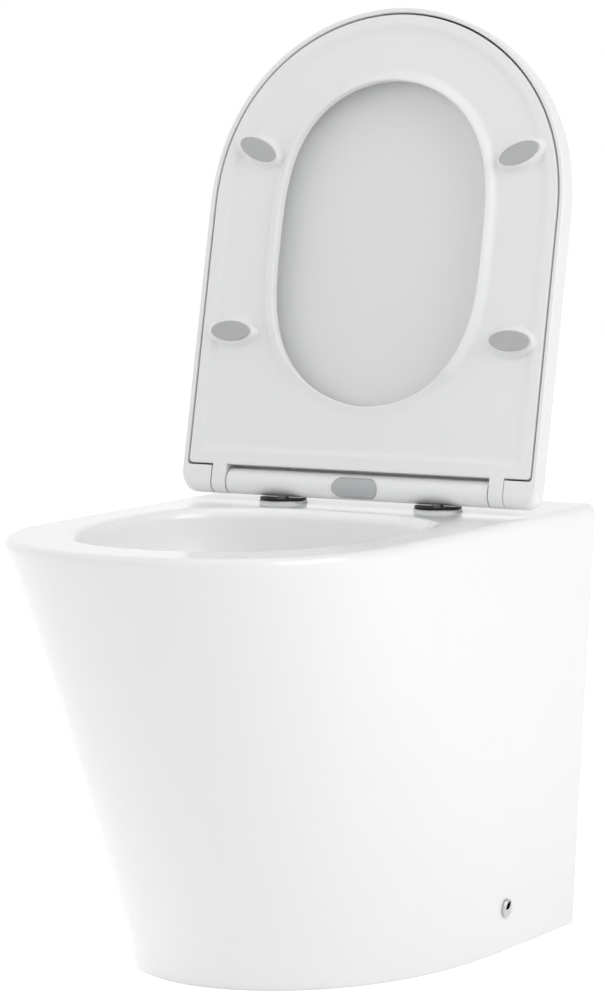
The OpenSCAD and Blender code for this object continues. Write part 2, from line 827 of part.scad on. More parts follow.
// the seat's opening, flared by the rounding of its edge above and below
module seat_hole() {
    flare = 12;
    roll_h = 7;
    top_flare = 8;
    top_roll_h = 5;
    loft(concat(
        [hole_ring(flare, seat_under - cut)],
        [for (a = [0:18:90]) hole_ring(flare * (1 - sin(a)), seat_under + roll_h * (1 - cos(a)))],
        [for (a = [0:18:90]) hole_ring(top_flare * (1 - cos(a)), seat_top - top_roll_h * (1 - sin(a)))],
        [hole_ring(top_flare, seat_top + cut)]
    ));
}

// shallow dish all round the underside, between the lip, the rear band and the opening's roll
module seat_dish() {
    steps = 48;
    lip = 9;
    slope = 9;
    rear_band = 36;
    roll_edge = 9;
    roll_slope = 12;
    middle = (rear_band + seat_reach) / 2;
    outline = function (inset, z)
        [for (k = [0:steps - 1])
            let (a = 360 * k / steps)
            [(seat_half_w - inset) * pw(cos(a), sin(a) > 0 ? 0.35 : 1 / 1.15),
                -middle + (seat_reach - middle - inset + (sin(a) > 0 ? lip : 0)) * pw(sin(a), sin(a) > 0 ? 0.35 : 0.8),
                z]];
    difference() {
        loft([
            outline(lip, seat_under - cut),
            outline(lip, seat_under),
            outline(lip + slope / 2, seat_under + dish_d / 2),
            outline(lip + slope, seat_under + dish_d),
        ]);
        loft([
            hole_ring(roll_edge + roll_slope, seat_under - 2 * cut),
            hole_ring(roll_edge + roll_slope / 2, seat_under + dish_d / 2),
            hole_ring(roll_edge, seat_under + dish_d + cut),
        ]);
    }
}

// hinge lug of the seat: an arm that ends round the hinge axis
module seat_lug(side) {
    arm = seat_rear + 12;
    on_side(side) intersection() {
        union() {
            rod_x(lug_in, lug_out, lug_r);
            translate([lug_in, -arm, seat_under]) cube([seat_lug_w, arm, lug_r - 0.3 + seat_top]);
        }
        translate([lug_in - cut, -2 * arm, seat_under]) cube([seat_lug_w + 2 * cut, 3 * arm, 3 * lug_r]);
    }
}

// raised oval pad that carries a buffer
module at_buffers() {
    for (s = [-1, 1]) {
        translate([s * buffer_rear_x, -buffer_rear_y, seat_under]) children();
        translate([s * buffer_front_x, -buffer_front_y, seat_under])
            rotate([0, 0, -s * buffer_front_turn]) children();
    }
}

module seat_ring() {
    rim = 1.5;
    slope = 4;
    color(moulded) raised() difference() {
        union() {
            difference() {
                seat_blank();
                seat_hole();
                seat_dish();
            }
            for (s = [-1, 1]) seat_lug(s);
            at_buffers() loft([
                for (q = [[rim - 0.5, -pad_h], [rim, 0.5 - pad_h], [rim + slope / 2, -pad_h / 3], [rim + slope, 0],
                    [rim + slope, seat_t / 2]])
                    oval_ring(buffer_l + 2 * q[0], buffer_w + 2 * q[0], q[1])]);
        }
        on_side(-1) rod_x(lug_in - cut, lug_out + cut, pin_d / 2 + bush_t + shaft_gap);
        on_side(1) rod_x(lug_in - cut, lug_out + cut, pin_d / 2 + shaft_gap);
    }
}

// soft oval foot under the seat, stuck on its pad
module seat_buffer(side, front) {
    turn = front ? buffer_front_turn : 0;
    x = front ? buffer_front_x : buffer_rear_x;
    y = front ? buffer_front_y : buffer_rear_y;
    edge = 0.8;
    color(grey) raised()
        translate([side * x, -y, seat_under - pad_h - buffer_h]) rotate([0, 0, -side * turn])
            loft([
                oval_ring(buffer_l - 2 * edge, buffer_w - 2 * edge, 0),
                oval_ring(buffer_l, buffer_w, edge),
                oval_ring(buffer_l, buffer_w, buffer_h),
            ]);
}

// bush in the seat's left lug, in which the lid's pin turns
module seat_bush() {
    color("#d8dadb") raised() on_side(-1) difference() {
        rod_x(lug_in, lug_out, pin_d / 2 + bush_t);
        rod_x(lug_in - cut, lug_out + cut, pin_d / 2 + shaft_gap);
    }
}

pin_hold = 20;
pin_in = damper_out - pin_hold;
pin_out = lid_lug_in + 18;

// shaft of the seat's damper: held by the seat's right lug, its end carries the lid's right lug
module seat_hinge_pin() {
    color(steel) raised() on_side(1) rod_x(pin_in, pin_out, pin_d / 2);
}

// ---------- lid ----------

// the lid's rear is round about the hinge axis up to this height, and slopes in above it
lug_bend_z = lug_r - 3;

// outline of the lid's outside at height z above the hinge axis
function lid_ring(z) =
    let (
        over = max(0, z - (lid_top - lid_edge_r)),
        inset = lid_edge_r - sqrt(pow(lid_edge_r, 2) - pow(over, 2)),
        b = min(z, lug_bend_z),
        back = sqrt(pow(lug_r, 2) - pow(b, 2)) - (z - b)
    )
    cover_ring(lid_half_w - inset, seat_straight, lid_reach - inset, -back,
        lid_corner_r, seat_shape, z);

module lid_blank() {
    loft(concat(
        [for (z = [seat_under + eps, seat_under + 1.5, seat_under + 4, -4, 0, 4]) lid_ring(z)],
        [for (a = [0:18:90]) lid_ring(lid_top - lid_edge_r * (1 - sin(a)))]
    ));
}

// room for the seat inside the lid
module lid_room() {
    g = lid_seat_gap;
    loft([for (q = [[0, seat_under - cut], [0, lid_inside - 4], [1.2, lid_inside - 1.2], [4, lid_inside]])
        cover_ring(seat_half_w + g - q[0], seat_straight, seat_reach + g - q[0], seat_rear - g, 4,
            seat_shape, q[1])]);
}

// room between the lid's lugs for the hinge bar and the seat's lugs
module lid_gate() {
    room_lap = 6;
    translate([-lid_lug_in, -lid_rear, seat_under - cut])
        cube([2 * lid_lug_in, 3 * lug_r, lid_depth + 2 * cut]);
    translate([-lid_lug_in, -seat_rear - room_lap, seat_under - cut])
        cube([2 * lid_lug_in, seat_rear + room_lap, lid_inside - seat_under + cut]);
}

module lid() {
    color(moulded) raised() difference() {
        lid_blank();
        lid_room();
        lid_gate();
        on_side(-1) rod_x(lid_lug_in - cut, pin_out + slide_gap, pin_d / 2 + shaft_gap);
        on_side(1) rod_x(lid_lug_in - cut, pin_out + slide_gap, pin_d / 2 + bush_t + shaft_gap);
    }
}

// bush in the lid's right lug, in which the seat's pin turns
module lid_bush() {
    color("#d8dadb") raised() on_side(1) difference() {
        rod_x(lid_lug_in, pin_out, pin_d / 2 + bush_t);
        rod_x(lid_lug_in - cut, pin_out + cut, pin_d / 2 + shaft_gap);
    }
}

// shaft of the lid's damper: passes the seat's left lug and is held by the lid's left lug
module lid_hinge_pin() {
    color(steel) raised() on_side(-1) rod_x(pin_in, pin_out, pin_d / 2);
}

// soft pad inside the lid that rests on the seat
module lid_buffer(side) {
    d = 12;
    h = lid_inside - seat_top - slide_gap;
    color(grey) raised()
        translate([side * buffer_front_x, -buffer_front_y, seat_top + slide_gap])
            cylinder(d = d, h = h);
}

pan();
floor_bracket(-1);  // floor_bracket_left
floor_bracket(1);  // floor_bracket_right
side_sleeve(-1);  // side_sleeve_left
side_sleeve(1);  // side_sleeve_right
side_screw(-1);  // side_screw_left
side_screw(1);  // side_screw_right
side_cap(-1);  // side_cap_left
side_cap(1);  // side_cap_right
rosette_gasket(-1);  // rosette_gasket_left
rosette_gasket(1);  // rosette_gasket_right
rosette(-1);  // rosette_left
rosette(1);  // rosette_right
hinge_post(-1);  // hinge_post_left
hinge_post(1);  // hinge_post_right
deck_washer(-1);  // deck_washer_left
deck_washer(1);  // deck_washer_right
wing_nut(-1);  // wing_nut_left
wing_nut(1);  // wing_nut_right
hinge_bar();
hinge_bar_cover();
damper(-1);  // lid_damper
damper(1);  // seat_damper
release_button();
latch(-1);  // latch_left
latch(1);  // latch_right
latch_spring();
seat_ring();
seat_bush();
seat_buffer(-1, false);  // seat_buffer_rear_left
seat_buffer(1, false);  // seat_buffer_rear_right
seat_buffer(-1, true);  // seat_buffer_front_left
seat_buffer(1, true);  // seat_buffer_front_right
seat_hinge_pin();
lid();
lid_bush();
lid_hinge_pin();
lid_buffer(-1);  // lid_buffer_left
lid_buffer(1);  // lid_buffer_right
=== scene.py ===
"""Back to wall toilet with its seat and lid raised: the finished surfaces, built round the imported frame.

Metres, +Z up, the wall on the +Y side. The pieces follow each other as the toilet is put together.
"""
import math

import bmesh
import bpy
import numpy as np
from mathutils import Matrix, Vector
from mathutils.bvhtree import BVHTree


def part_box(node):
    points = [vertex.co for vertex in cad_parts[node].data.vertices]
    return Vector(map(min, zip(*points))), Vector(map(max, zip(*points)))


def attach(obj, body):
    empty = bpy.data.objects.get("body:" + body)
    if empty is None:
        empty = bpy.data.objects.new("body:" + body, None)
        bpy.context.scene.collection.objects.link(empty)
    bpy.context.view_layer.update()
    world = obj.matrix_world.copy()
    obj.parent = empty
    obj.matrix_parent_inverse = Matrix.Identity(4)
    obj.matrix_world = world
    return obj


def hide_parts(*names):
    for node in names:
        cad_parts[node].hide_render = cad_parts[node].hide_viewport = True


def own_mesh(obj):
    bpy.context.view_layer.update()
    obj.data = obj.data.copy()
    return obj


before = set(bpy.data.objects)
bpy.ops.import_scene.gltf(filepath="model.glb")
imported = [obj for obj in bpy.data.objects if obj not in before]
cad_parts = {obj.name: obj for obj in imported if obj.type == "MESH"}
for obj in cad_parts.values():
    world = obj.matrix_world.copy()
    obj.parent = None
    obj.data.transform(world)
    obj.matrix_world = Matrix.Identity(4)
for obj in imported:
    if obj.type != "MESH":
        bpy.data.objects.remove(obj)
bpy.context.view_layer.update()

# ----------------------------
# Pan
# One piece of vitreous china, slip-cast in a plaster mould. The outside, the deck and the
# bowl are glazed white. The cast inside of the skirt and the ground edges stay bare.
mm = 0.001
pan_low, pan_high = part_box("pan")
wall_y = pan_high.y
pan_h = pan_high.z
pan_w = pan_high.x - pan_low.x
pan_reach = pan_high.y - pan_low.y
top_straight = 369 * mm
foot_w = 320 * mm
foot_reach = 406 * mm
foot_straight = 133 * mm
front_sweep = 1.14
foot_edge_r = 2 * mm
rim_edge_r = 7 * mm
rear_edge_r = 5 * mm
skirt_t = 11 * mm
deck_t = 15 * mm
china_t = 10 * mm
top_shape = (2.18, 2.15)
foot_shape = (1.93, 2.66)


def mix(a, b, t):
    return a + (b - a) * t


def ease(t):
    t = np.clip(t, 0, 1)
    return t * t * (3 - 2 * t)


def power(value, exponent):
    return np.sign(value) * np.abs(value) ** exponent


def columns(*values):
    """Points whose coordinates are these arrays."""
    return np.stack(values, axis=1)


def full_turn(count):
    """Angles all the way round, in equal steps."""
    return np.linspace(0, 2 * math.pi, count, endpoint=False)


def rounding(r, turns):
    """Pairs (in from one side, in from the other) round a corner of radius r, at these turns of it."""
    return [(r * (1 - math.cos(a)), r * (1 - math.sin(a))) for a in turns]


def line(start, end, count):
    """Points from start towards end, the end left out."""
    t = np.arange(count)[:, None] / count
    return mix(np.array(start, float), np.array(end, float), t)


def evenly(points, count):
    """Points at equal steps along an open line of points, the end left out."""
    run = np.concatenate([[0], np.cumsum(np.linalg.norm(np.diff(points, axis=0), axis=1))])
    at = np.arange(count) / count * run[-1]
    return np.stack([np.interp(at, run, points[:, k]) for k in range(points.shape[1])], axis=1)


def d_shape(half_w, rear, straight, front, corner, shape, parts=(8, 24, 24, 160)):
    """Outline with a straight rear edge, two straight sides and a rounded front, seen from above."""
    n_corner, n_rear, n_side, n_front = parts
    a = np.arange(n_corner) / n_corner * math.pi / 2
    turn = columns(np.cos(a), np.sin(a)) * corner
    right = turn + (half_w - corner, rear - corner)
    left = columns(-turn[:, 1], turn[:, 0]) + (corner - half_w, rear - corner)
    sweep = np.radians(np.linspace(0, 180, 1441))
    curve = columns(
        -half_w * power(np.cos(sweep), 2 / shape[0]),
        straight - (straight - front) * power(np.sin(sweep), 2 / shape[1]),
    )
    return np.concatenate([
        right,
        line((half_w - corner, rear), (corner - half_w, rear), n_rear),
        left,
        line((-half_w, rear - corner), (-half_w, straight), n_side),
        evenly(curve, n_front),
        line((half_w, straight), (half_w, rear - corner), n_side),
    ])


def at_height(outline, z):
    """Level ring out of an outline, or one whose height z varies from point to point."""
    height = np.broadcast_to(np.asarray(z, float).reshape(-1, 1), (len(outline), 1))
    return np.concatenate([outline, height], axis=1)


def pan_level(z, inset=0.0, rear=0.0, corner=rear_edge_r):
    """Outline of the pan's skin at height z, drawn in by inset and back past the wall by rear."""
    t = min(1, z / (pan_h - rim_edge_r))
    g = max(t, 0) ** front_sweep
    return at_height(d_shape(
        mix(foot_w, pan_w, t) / 2 - inset,
        wall_y + rear,
        wall_y - mix(foot_straight, top_straight, g),
        wall_y - mix(foot_reach, pan_reach, g) + inset,
        corner,
        [mix(foot_shape[k], top_shape[k], t) for k in (0, 1)],
    ), z)


def skin(name, rings, ring_shaped=False):
    """Mesh through rings of equal length: its ends are closed, or joined if it is ring-shaped."""
    rings = np.asarray(rings, float)
    levels, around = rings.shape[:2]
    points = rings.reshape(-1, 3).tolist()
    faces = []
    for j in range(levels if ring_shaped else levels - 1):
        here, there = j * around, (j + 1) % levels * around
        for i in range(around):
            k = (i + 1) % around
            faces.append((here + i, here + k, there + k, there + i))
    if not ring_shaped:
        for j in (0, levels - 1):
            points.append(rings[j].mean(axis=0).tolist())
            for i in range(around):
                faces.append((len(points) - 1, j * around + i, j * around + (i + 1) % around))
    return solid(name, points, faces)


def in_scene(name, data):
    """New object of the scene for a mesh, lamp or camera."""
    thing = bpy.data.objects.new(name, data)
    bpy.context.scene.collection.objects.link(thing)
    return thing


def cleaned(mesh, join_within, flat_deg=None):
    """Joins points that lie together, makes flat faces whole and turns every face outwards."""
    bm = bmesh.new()
    bm.from_mesh(mesh)
    bmesh.ops.remove_doubles(bm, verts=bm.verts, dist=join_within)
    if flat_deg:
        bmesh.ops.dissolve_limit(bm, angle_limit=math.radians(flat_deg), verts=bm.verts, edges=bm.edges)
    bmesh.ops.recalc_face_normals(bm, faces=bm.faces)
    bm.to_mesh(mesh)
    bm.free()
    return mesh


def solid(name, points, faces):
    mesh = bpy.data.meshes.new(name)
    mesh.from_pydata(points, [], faces)
    return in_scene(name, cleaned(mesh, 1e-7))


def baked(piece):
    """Turns the modifiers of a piece into its plain mesh."""
    bpy.context.view_layer.update()
    graph = bpy.context.evaluated_depsgraph_get()
    mesh = bpy.data.meshes.new_from_object(
        piece.evaluated_get(graph), preserve_all_data_layers=True, depsgraph=graph)
    piece.modifiers.clear()
    piece.data = mesh
    return piece


def carve(piece, tool, operation="DIFFERENCE"):
    """Cuts the tool out of a piece, or joins it on, and removes the tool."""
    modifier = piece.modifiers.new("carve", "BOOLEAN")
    modifier.operation = operation
    modifier.solver = "MANIFOLD"
    modifier.object = tool
    baked(piece)
    bpy.data.objects.remove(tool)
    return piece


def smooth_faces(piece, crease_deg=32):
    piece.data.shade_smooth()
    piece.data.set_sharp_from_angle(angle=math.radians(crease_deg))
    return piece


# the bowl: rings down from its rounded edge to the sump
bowl_half_w = 141 * mm
bowl_setback = 278 * mm
bowl_rear = 108 * mm
bowl_front = 229 * mm
bowl_edge_r = 9 * mm
bowl_overhang = 3 * mm
bowl_shape = (2.3, 2.68)
sump_half_w = 48 * mm
sump_half_l = 52 * mm
sump_setback = 266 * mm
sump_z = 44 * mm
throat_h = 60 * mm
throat_z = sump_z + throat_h
bowl_top_z = pan_h - bowl_edge_r


def bowl_level(t, grow, z, a):
    """Ring of the bowl at the share t of the way down, at the angles a round it."""
    e = float(ease(t))
    drop = bowl_edge_r - bowl_overhang
    shape = [mix(bowl_shape[k], 2, e) for k in (0, 1)]
    back = mix(bowl_rear - drop, sump_half_l, e) + grow
    front = mix(bowl_front - drop, sump_half_l, e) + grow
    x = (mix(bowl_half_w - drop, sump_half_w, e) + grow) * power(np.cos(a), 2 / shape[0])
    y = np.where(np.sin(a) > 0, back, front) * power(np.sin(a), 2 / shape[1])
    return at_height(columns(x, y + wall_y - mix(bowl_setback, sump_setback, e)), z)


def angles_towards(outline, ring, centre):
    """The angles of ring(a) at which its points lie in line with the outline's, seen from the centre."""
    fine = np.linspace(-math.pi, math.pi, 7201)
    track = ring(fine)[:, :2] - centre
    direction = np.unwrap(np.arctan2(track[:, 1], track[:, 0]))
    wanted = np.arctan2(outline[:, 1] - centre[1], outline[:, 0] - centre[0])
    return np.interp(wanted, direction, fine)


deck_edge = pan_level(pan_h, rim_edge_r)
bowl_centre = (0.0, wall_y - bowl_setback)
around_bowl = angles_towards(deck_edge, lambda a: bowl_level(0, bowl_edge_r, pan_h, a), bowl_centre)
bowl_edge = bowl_level(0, bowl_edge_r, pan_h, around_bowl)
quarter = np.radians(np.linspace(0, 90, 13))
pan = skin("pan_china", [
    *[pan_level(z, inset) for inset, z in rounding(foot_edge_r, quarter[::-4])],
    *[pan_level(mix(foot_edge_r, pan_h - rim_edge_r, t)) for t in np.linspace(0, 1, 56)[1:]],
    *[pan_level(pan_h - drop, inset) for inset, drop in rounding(rim_edge_r, quarter[1:])],
    *[mix(deck_edge, bowl_edge, t) for t in (0.03, 0.2, 0.5, 0.8, 0.97)],
    *[bowl_level(0, grow, pan_h - drop, around_bowl) for grow, drop in rounding(bowl_edge_r, quarter[::-1])],
    *[bowl_level(t, 0, mix(bowl_top_z, throat_z, t), around_bowl) for t in np.linspace(0, 1, 45)[1:]],
    *[bowl_level(1, -sump_half_w * (1 - math.sin(a)), mix(throat_z, sump_z, math.cos(a)), around_bowl)
      for a in quarter[-2:0:-1]],
])

# waterways: the trapway from the sump to the outlet, and the duct from the flush inlet to its slot
outlet_h, outlet_r, outlet_l, outlet_recess = 180 * mm, 51 * mm, 70 * mm, 10 * mm
inlet_h, inlet_bore_r, inlet_l, inlet_recess = 335 * mm, 27.5 * mm, 60 * mm, 12 * mm
inlet_t = 8 * mm
duct_w = 2 * inlet_bore_r - 6 * mm
slot_w, slot_h, slot_drop = 70 * mm, 26 * mm, 14 * mm
trap_r = 34 * mm
trap_start_z = 78 * mm
trap_dip = (127 * mm, -15 * mm)
trap_weir = (176 * mm, 229 * mm)
trap_lead, trap_overlap = 17 * mm, 20 * mm
trap_path = np.array([
    (sump_setback, trap_start_z), trap_dip, trap_weir,
    (outlet_recess + outlet_l + trap_lead, outlet_h),
    (outlet_recess + outlet_l - trap_overlap, outlet_h),
])


def bezier(path, t):
    """Point of the curve that a path of control points pulls, from 0 to 1 along it."""
    while len(path) > 1:
        path = mix(path[:-1], path[1:], t)
    return path[0]


def trap_tube(name, start_r, end_r):
    """Tube along the trapway, seen as (distance from the wall, height)."""
    rings = []
    step = 0.01
    a = full_turn(64)
    for t in np.linspace(0, 1, 45):
        ahead = bezier(trap_path, t + step) - bezier(trap_path, t - step)
        back, up = ahead / np.linalg.norm(ahead)
        middle = bezier(trap_path, t)
        r = mix(start_r, end_r, float(ease(t)))
        side = r * np.sin(a)
        rings.append(columns(
            r * np.cos(a), wall_y - middle[0] + side * up, middle[1] + side * back))
    return skin(name, rings)


def rod(name, start, end, r, sides=96):
    """Round rod between two points."""
    start, end = Vector(start), Vector(end)
    turn = (end - start).to_track_quat("Z", "Y").to_matrix()
    a = full_turn(sides)
    ring = columns(r * np.cos(a), r * np.sin(a), 0 * a) @ np.array(turn.transposed())
    return skin(name, [ring + np.array(start), ring + np.array(end)])


def flush_duct(name, grow):
    """Duct that goes from the round inlet to the flat slot in the bowl's back."""
    overlap = 8 * mm
    start = inlet_recess + inlet_l - overlap
    stop = bowl_setback - bowl_rear + bowl_edge_r + overlap
    a = full_turn(64)
    rings = []
    for t in np.linspace(0, 1, 13):
        width = mix(duct_w, slot_w, t) / 2 + grow
        height = mix(duct_w, slot_h, t) / 2 + grow
        bend = mix(1, 0.5, t)
        rings.append(columns(
            width * power(np.cos(a), bend),
            np.full_like(a, wall_y - mix(start, stop, t)),
            inlet_h - slot_drop * t + height * power(np.sin(a), bend),
        ))
    return skin(name, rings)


def from_wall(name, z, start, length, r):
    """Round rod at height z that runs forward from a distance start off the wall."""
    return rod(name, (0, wall_y - start, z), (0, wall_y - start - length, z), r)


# the hollow behind and under the bowl, with the soft inner corners that casting leaves
even_turn = full_turn(128)
overrun = 14 * mm
hollow = skin("hollow", [
    pan_level(mix(-overrun, pan_h - deck_t, t), skirt_t, overrun, corner=2 * mm)
    for t in np.linspace(0, 1, 24)])
bowl_depth = throat_z - sump_z + china_t
carve(hollow, skin("bowl_outside", [
    *[bowl_level(1, china_t - (sump_half_w + china_t) * (1 - math.sin(a)),
                 throat_z - bowl_depth * math.cos(a), even_turn)
      for a in np.radians([8, 20, 35, 50, 65, 80])],
    *[bowl_level(t, china_t, mix(bowl_top_z, throat_z, t), even_turn) for t in np.linspace(1, 0, 24)],
]))
carve(hollow, trap_tube("trap_outside", trap_r + china_t, outlet_r - 2 * mm))
carve(hollow, flush_duct("duct_outside", china_t - 2 * mm))
carve(hollow, from_wall("spigot_outside", outlet_h, outlet_recess, outlet_l, outlet_r))
carve(hollow, from_wall("inlet_outside", inlet_h, inlet_recess, inlet_l, inlet_bore_r + inlet_t))
remesh = hollow.modifiers.new("cast", "REMESH")
remesh.mode = "VOXEL"
remesh.voxel_size = 3.5 * mm
soften = hollow.modifiers.new("soften", "SMOOTH")
soften.factor = 0.5
soften.iterations = 7
thin_out = hollow.modifiers.new("thin_out", "DECIMATE")
thin_out.ratio = 0.35
baked(hollow)
bare_surface = BVHTree.FromObject(hollow, bpy.context.evaluated_depsgraph_get())
carve(pan, hollow)
carve(pan, trap_tube("trap_inside", trap_r, outlet_r - china_t - 0.5 * mm))
carve(pan, flush_duct("duct_inside", 0))
for name, z, recess, length, r in (
    ("outlet_bore", outlet_h, outlet_recess, outlet_l, outlet_r - china_t),
    ("inlet_bore", inlet_h, inlet_recess, inlet_l, inlet_bore_r),
):
    carve(pan, from_wall(name, z, recess - overrun, length + overrun - 6 * mm, r))
pin_low, pin_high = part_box("seat_hinge_pin")
hinge_y = (pin_low.y + pin_high.y) / 2
axis_z = (pin_low.z + pin_high.z) / 2
post_x = 79.5 * mm
stud_hole_r = 7 * mm
skirt_lean = math.atan((pan_w - foot_w) / 2 / (pan_h - rim_edge_r))
side_fix_h = 40 * mm
side_fix_y = wall_y - 148 * mm
side_fix_x = foot_w / 2 + side_fix_h * math.tan(skirt_lean)
sleeve_r = 5.5 * mm
snug = 0.05 * mm


def side_place(side):
    """Where the side fixing sits on the skirt, and the way it looks out."""
    out = Vector((side * math.cos(skirt_lean), 0, -math.sin(skirt_lean)))
    return Vector((side * side_fix_x, side_fix_y, side_fix_h)), out


for side in (-1, 1):
    top = Vector((side * post_x, hinge_y, pan_h + 5 * mm))
    carve(pan, rod("stud_hole", top, top - Vector((0, 0, deck_t + 10 * mm)), stud_hole_r))
    spot, out = side_place(side)
    carve(pan, rod("sleeve_hole", spot - out * 2 * skirt_t, spot + out * skirt_t, sleeve_r + snug))
smooth_faces(pan)


def node_group(name, tree, inputs, outputs):
    """Empty node group with inputs and outputs {label: kind of socket}; returns it and its two ends."""
    group = bpy.data.node_groups.new(name, tree)
    for flow, labels in (("INPUT", inputs), ("OUTPUT", outputs)):
        for label, kind in labels.items():
            group.interface.new_socket(label, in_out=flow, socket_type="NodeSocket" + kind)
    return group, group.nodes.new("NodeGroupInput").outputs, group.nodes.new("NodeGroupOutput").inputs


def feed(node, feeds):
    """Gives the inputs of a node their values, or links them to the sockets that feed them."""
    for where, value in feeds.items():
        if isinstance(value, bpy.types.NodeSocket):
            node.id_data.links.new(value, node.inputs[where])
        else:
            node.inputs[where].default_value = value
    return node


def add_node(tree, kind, feeds, **settings):
    node = tree.nodes.new(kind)
    for label, value in settings.items():
        setattr(node, label, value)
    return feed(node, feeds)


def math_node(tree, operation, *values):
    return add_node(tree, "ShaderNodeMath", dict(enumerate(values)), operation=operation).outputs[0]


def rgba(r, g, b):
    return (r, g, b, 1.0)


# colour that drifts a little, gloss that varies, and a height of broad waves and fine grain
finish_group, given, made = node_group("surface finish", "ShaderNodeTree", {
    "Colour": "Color", "Second Colour": "Color", "Patch Scale": "Float",
    "Roughness": "Float", "Roughness Spread": "Float", "Wave Scale": "Float", "Wave Height": "Float",
    "Grain Scale": "Float", "Grain Height": "Float", "Stretch Z": "Float",
}, {"Colour": "Color", "Roughness": "Float", "Height": "Float"})
place = add_node(finish_group, "ShaderNodeTexCoord", {}).outputs["Object"]
stretch = add_node(finish_group, "ShaderNodeCombineXYZ", {"X": 1.0, "Y": 1.0, "Z": given["Stretch Z"]})
stretched = add_node(
    finish_group, "ShaderNodeVectorMath", {0: place, 1: stretch.outputs[0]}, operation="MULTIPLY")


def noise(position, scale, detail):
    """Noise of the surface finish, with its scale out of one of the group's inputs."""
    return add_node(finish_group, "ShaderNodeTexNoise", {
        "Vector": position, "Scale": given[scale], "Detail": detail}).outputs["Fac"]


patches = noise(place, "Patch Scale", 4.0)
waves = noise(place, "Wave Scale", 1.0)
grain = noise(stretched.outputs[0], "Grain Scale", 3.0)
blend = add_node(finish_group, "ShaderNodeMix", {
    "Factor": math_node(finish_group, "MULTIPLY", patches, 0.5),
    "A": given["Colour"], "B": given["Second Colour"],
}, data_type="RGBA")
uneven = math_node(finish_group, "SUBTRACT", math_node(finish_group, "ADD", patches, grain), 1.0)
grain_height = math_node(finish_group, "MULTIPLY", grain, given["Grain Height"])
for label, result in {
    "Colour": blend.outputs["Result"],
    "Roughness": math_node(
        finish_group, "MULTIPLY_ADD", uneven, given["Roughness Spread"], given["Roughness"]),
    "Height": math_node(finish_group, "MULTIPLY_ADD", waves, given["Wave Height"], grain_height),
}.items():
    finish_group.links.new(result, made[label])


def finish_of(name, colour, second, patch, gloss, wave, grain, stretch_z=1.0, depth=0.1 * mm, **principled):
    """Material from the surface finish group. The gloss is (roughness, spread), wave and grain are
    (scale, height), and the other words are sockets of the Principled BSDF."""
    material = bpy.data.materials.new(name)
    material.use_nodes = True
    material.diffuse_color = rgba(*colour)
    surface = add_node(material.node_tree, "ShaderNodeGroup", {
        "Colour": rgba(*colour), "Second Colour": rgba(*second), "Patch Scale": patch,
        "Roughness": gloss[0], "Roughness Spread": gloss[1], "Wave Scale": wave[0], "Wave Height": wave[1],
        "Grain Scale": grain[0], "Grain Height": grain[1], "Stretch Z": stretch_z,
    }, node_tree=finish_group).outputs
    relief = add_node(material.node_tree, "ShaderNodeBump", {"Distance": depth, "Height": surface["Height"]})
    feed(material.node_tree.nodes["Principled BSDF"], {
        "Base Color": surface["Colour"], "Roughness": surface["Roughness"], "Normal": relief.outputs[0],
        **{label.replace("_", " "): value for label, value in principled.items()},
    })
    return material


glaze = finish_of("white glaze", (0.885, 0.89, 0.888), (0.858, 0.865, 0.865),
    patch=5.0, gloss=(0.17, 0.05), wave=(16.0, 1.0), grain=(420.0, 0.03), depth=0.35 * mm,
    Coat_Weight=0.35, Coat_Roughness=0.1, IOR=1.52)
bare_china = finish_of("bare china", (0.72, 0.705, 0.67), (0.58, 0.555, 0.51),
    patch=22.0, gloss=(0.72, 0.2), wave=(40.0, 0.6), grain=(1300.0, 0.5), depth=0.5 * mm)


def is_bare(face):
    """Whether a face of the pan is ground flat or lies on the cast hollow."""
    at_wall = face.normal.y > 0.99 and face.center.y > wall_y - 1 * mm
    at_floor = face.normal.z < -0.99 and face.center.z < 1 * mm
    return at_wall or at_floor or bare_surface.find_nearest(face.center, 0.2 * mm)[0] is not None


def finish_faces(piece, main, other, is_other):
    """Gives a piece its main material, and the other one where is_other picks a face."""
    piece.data.materials.clear()
    piece.data.materials.append(main)
    piece.data.materials.append(other)
    for face in piece.data.polygons:
        face.material_index = 1 if is_other(face) else 0


def place_piece(piece, body, node, material=None):
    """Gives a finished piece its material and the body it moves with, and hides the CAD node it stands for.
    """
    if material:
        piece.data.materials.clear()
        piece.data.materials.append(material)
    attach(piece, body)
    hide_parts(node)


finish_faces(pan, glaze, bare_china, is_bare)
place_piece(pan, "pan", "pan")


# ----------------------------
# Side fixings
# Two angle brackets are screwed to the floor inside the skirt. A steel screw passes a plastic sleeve in
# the china and pulls it to the bracket's boss, and a chrome cap clips over the screw's head.
def softened(corners, r, closed=True, steps=4):
    """Outline with its corners rounded to r, or less where an edge is short."""
    corners = np.array(corners, float)
    count = len(corners)
    points = [] if closed else [corners[0]]
    for k in range(count) if closed else range(1, count - 1):
        here = corners[k]
        ends = []
        for other in (corners[k - 1], corners[(k + 1) % count]):
            away = np.linalg.norm(other - here)
            ends.append(here + (other - here) / away * min(r, away * 0.45))
        for t in np.linspace(0, 1, steps + 1):
            points.append(mix(mix(ends[0], here, t), mix(here, ends[1], t), t))
    return np.array(points if closed else points + [corners[-1]])


def turned(name, profile, start, along, ring_shaped=False, sides=96):
    """Lathed piece: the profile holds (radius, distance) from start along the axis."""
    turn = np.array(Vector(along).to_track_quat("Z", "Y").to_matrix())
    a = full_turn(sides)
    circle = columns(np.cos(a), np.sin(a), 0 * a)
    rings = [(circle * r + (0, 0, z)) @ turn.T + np.array(start) for r, z in profile if r > 0]
    return smooth_faces(skin(name, rings, ring_shaped))


def lathed(name, corners, soft_r, start, along, ring_shaped=True):
    """Lathed piece from the corners of its profile, rounded to soft_r."""
    return turned(name, softened(corners, soft_r, closed=ring_shaped), start, along, ring_shaped)


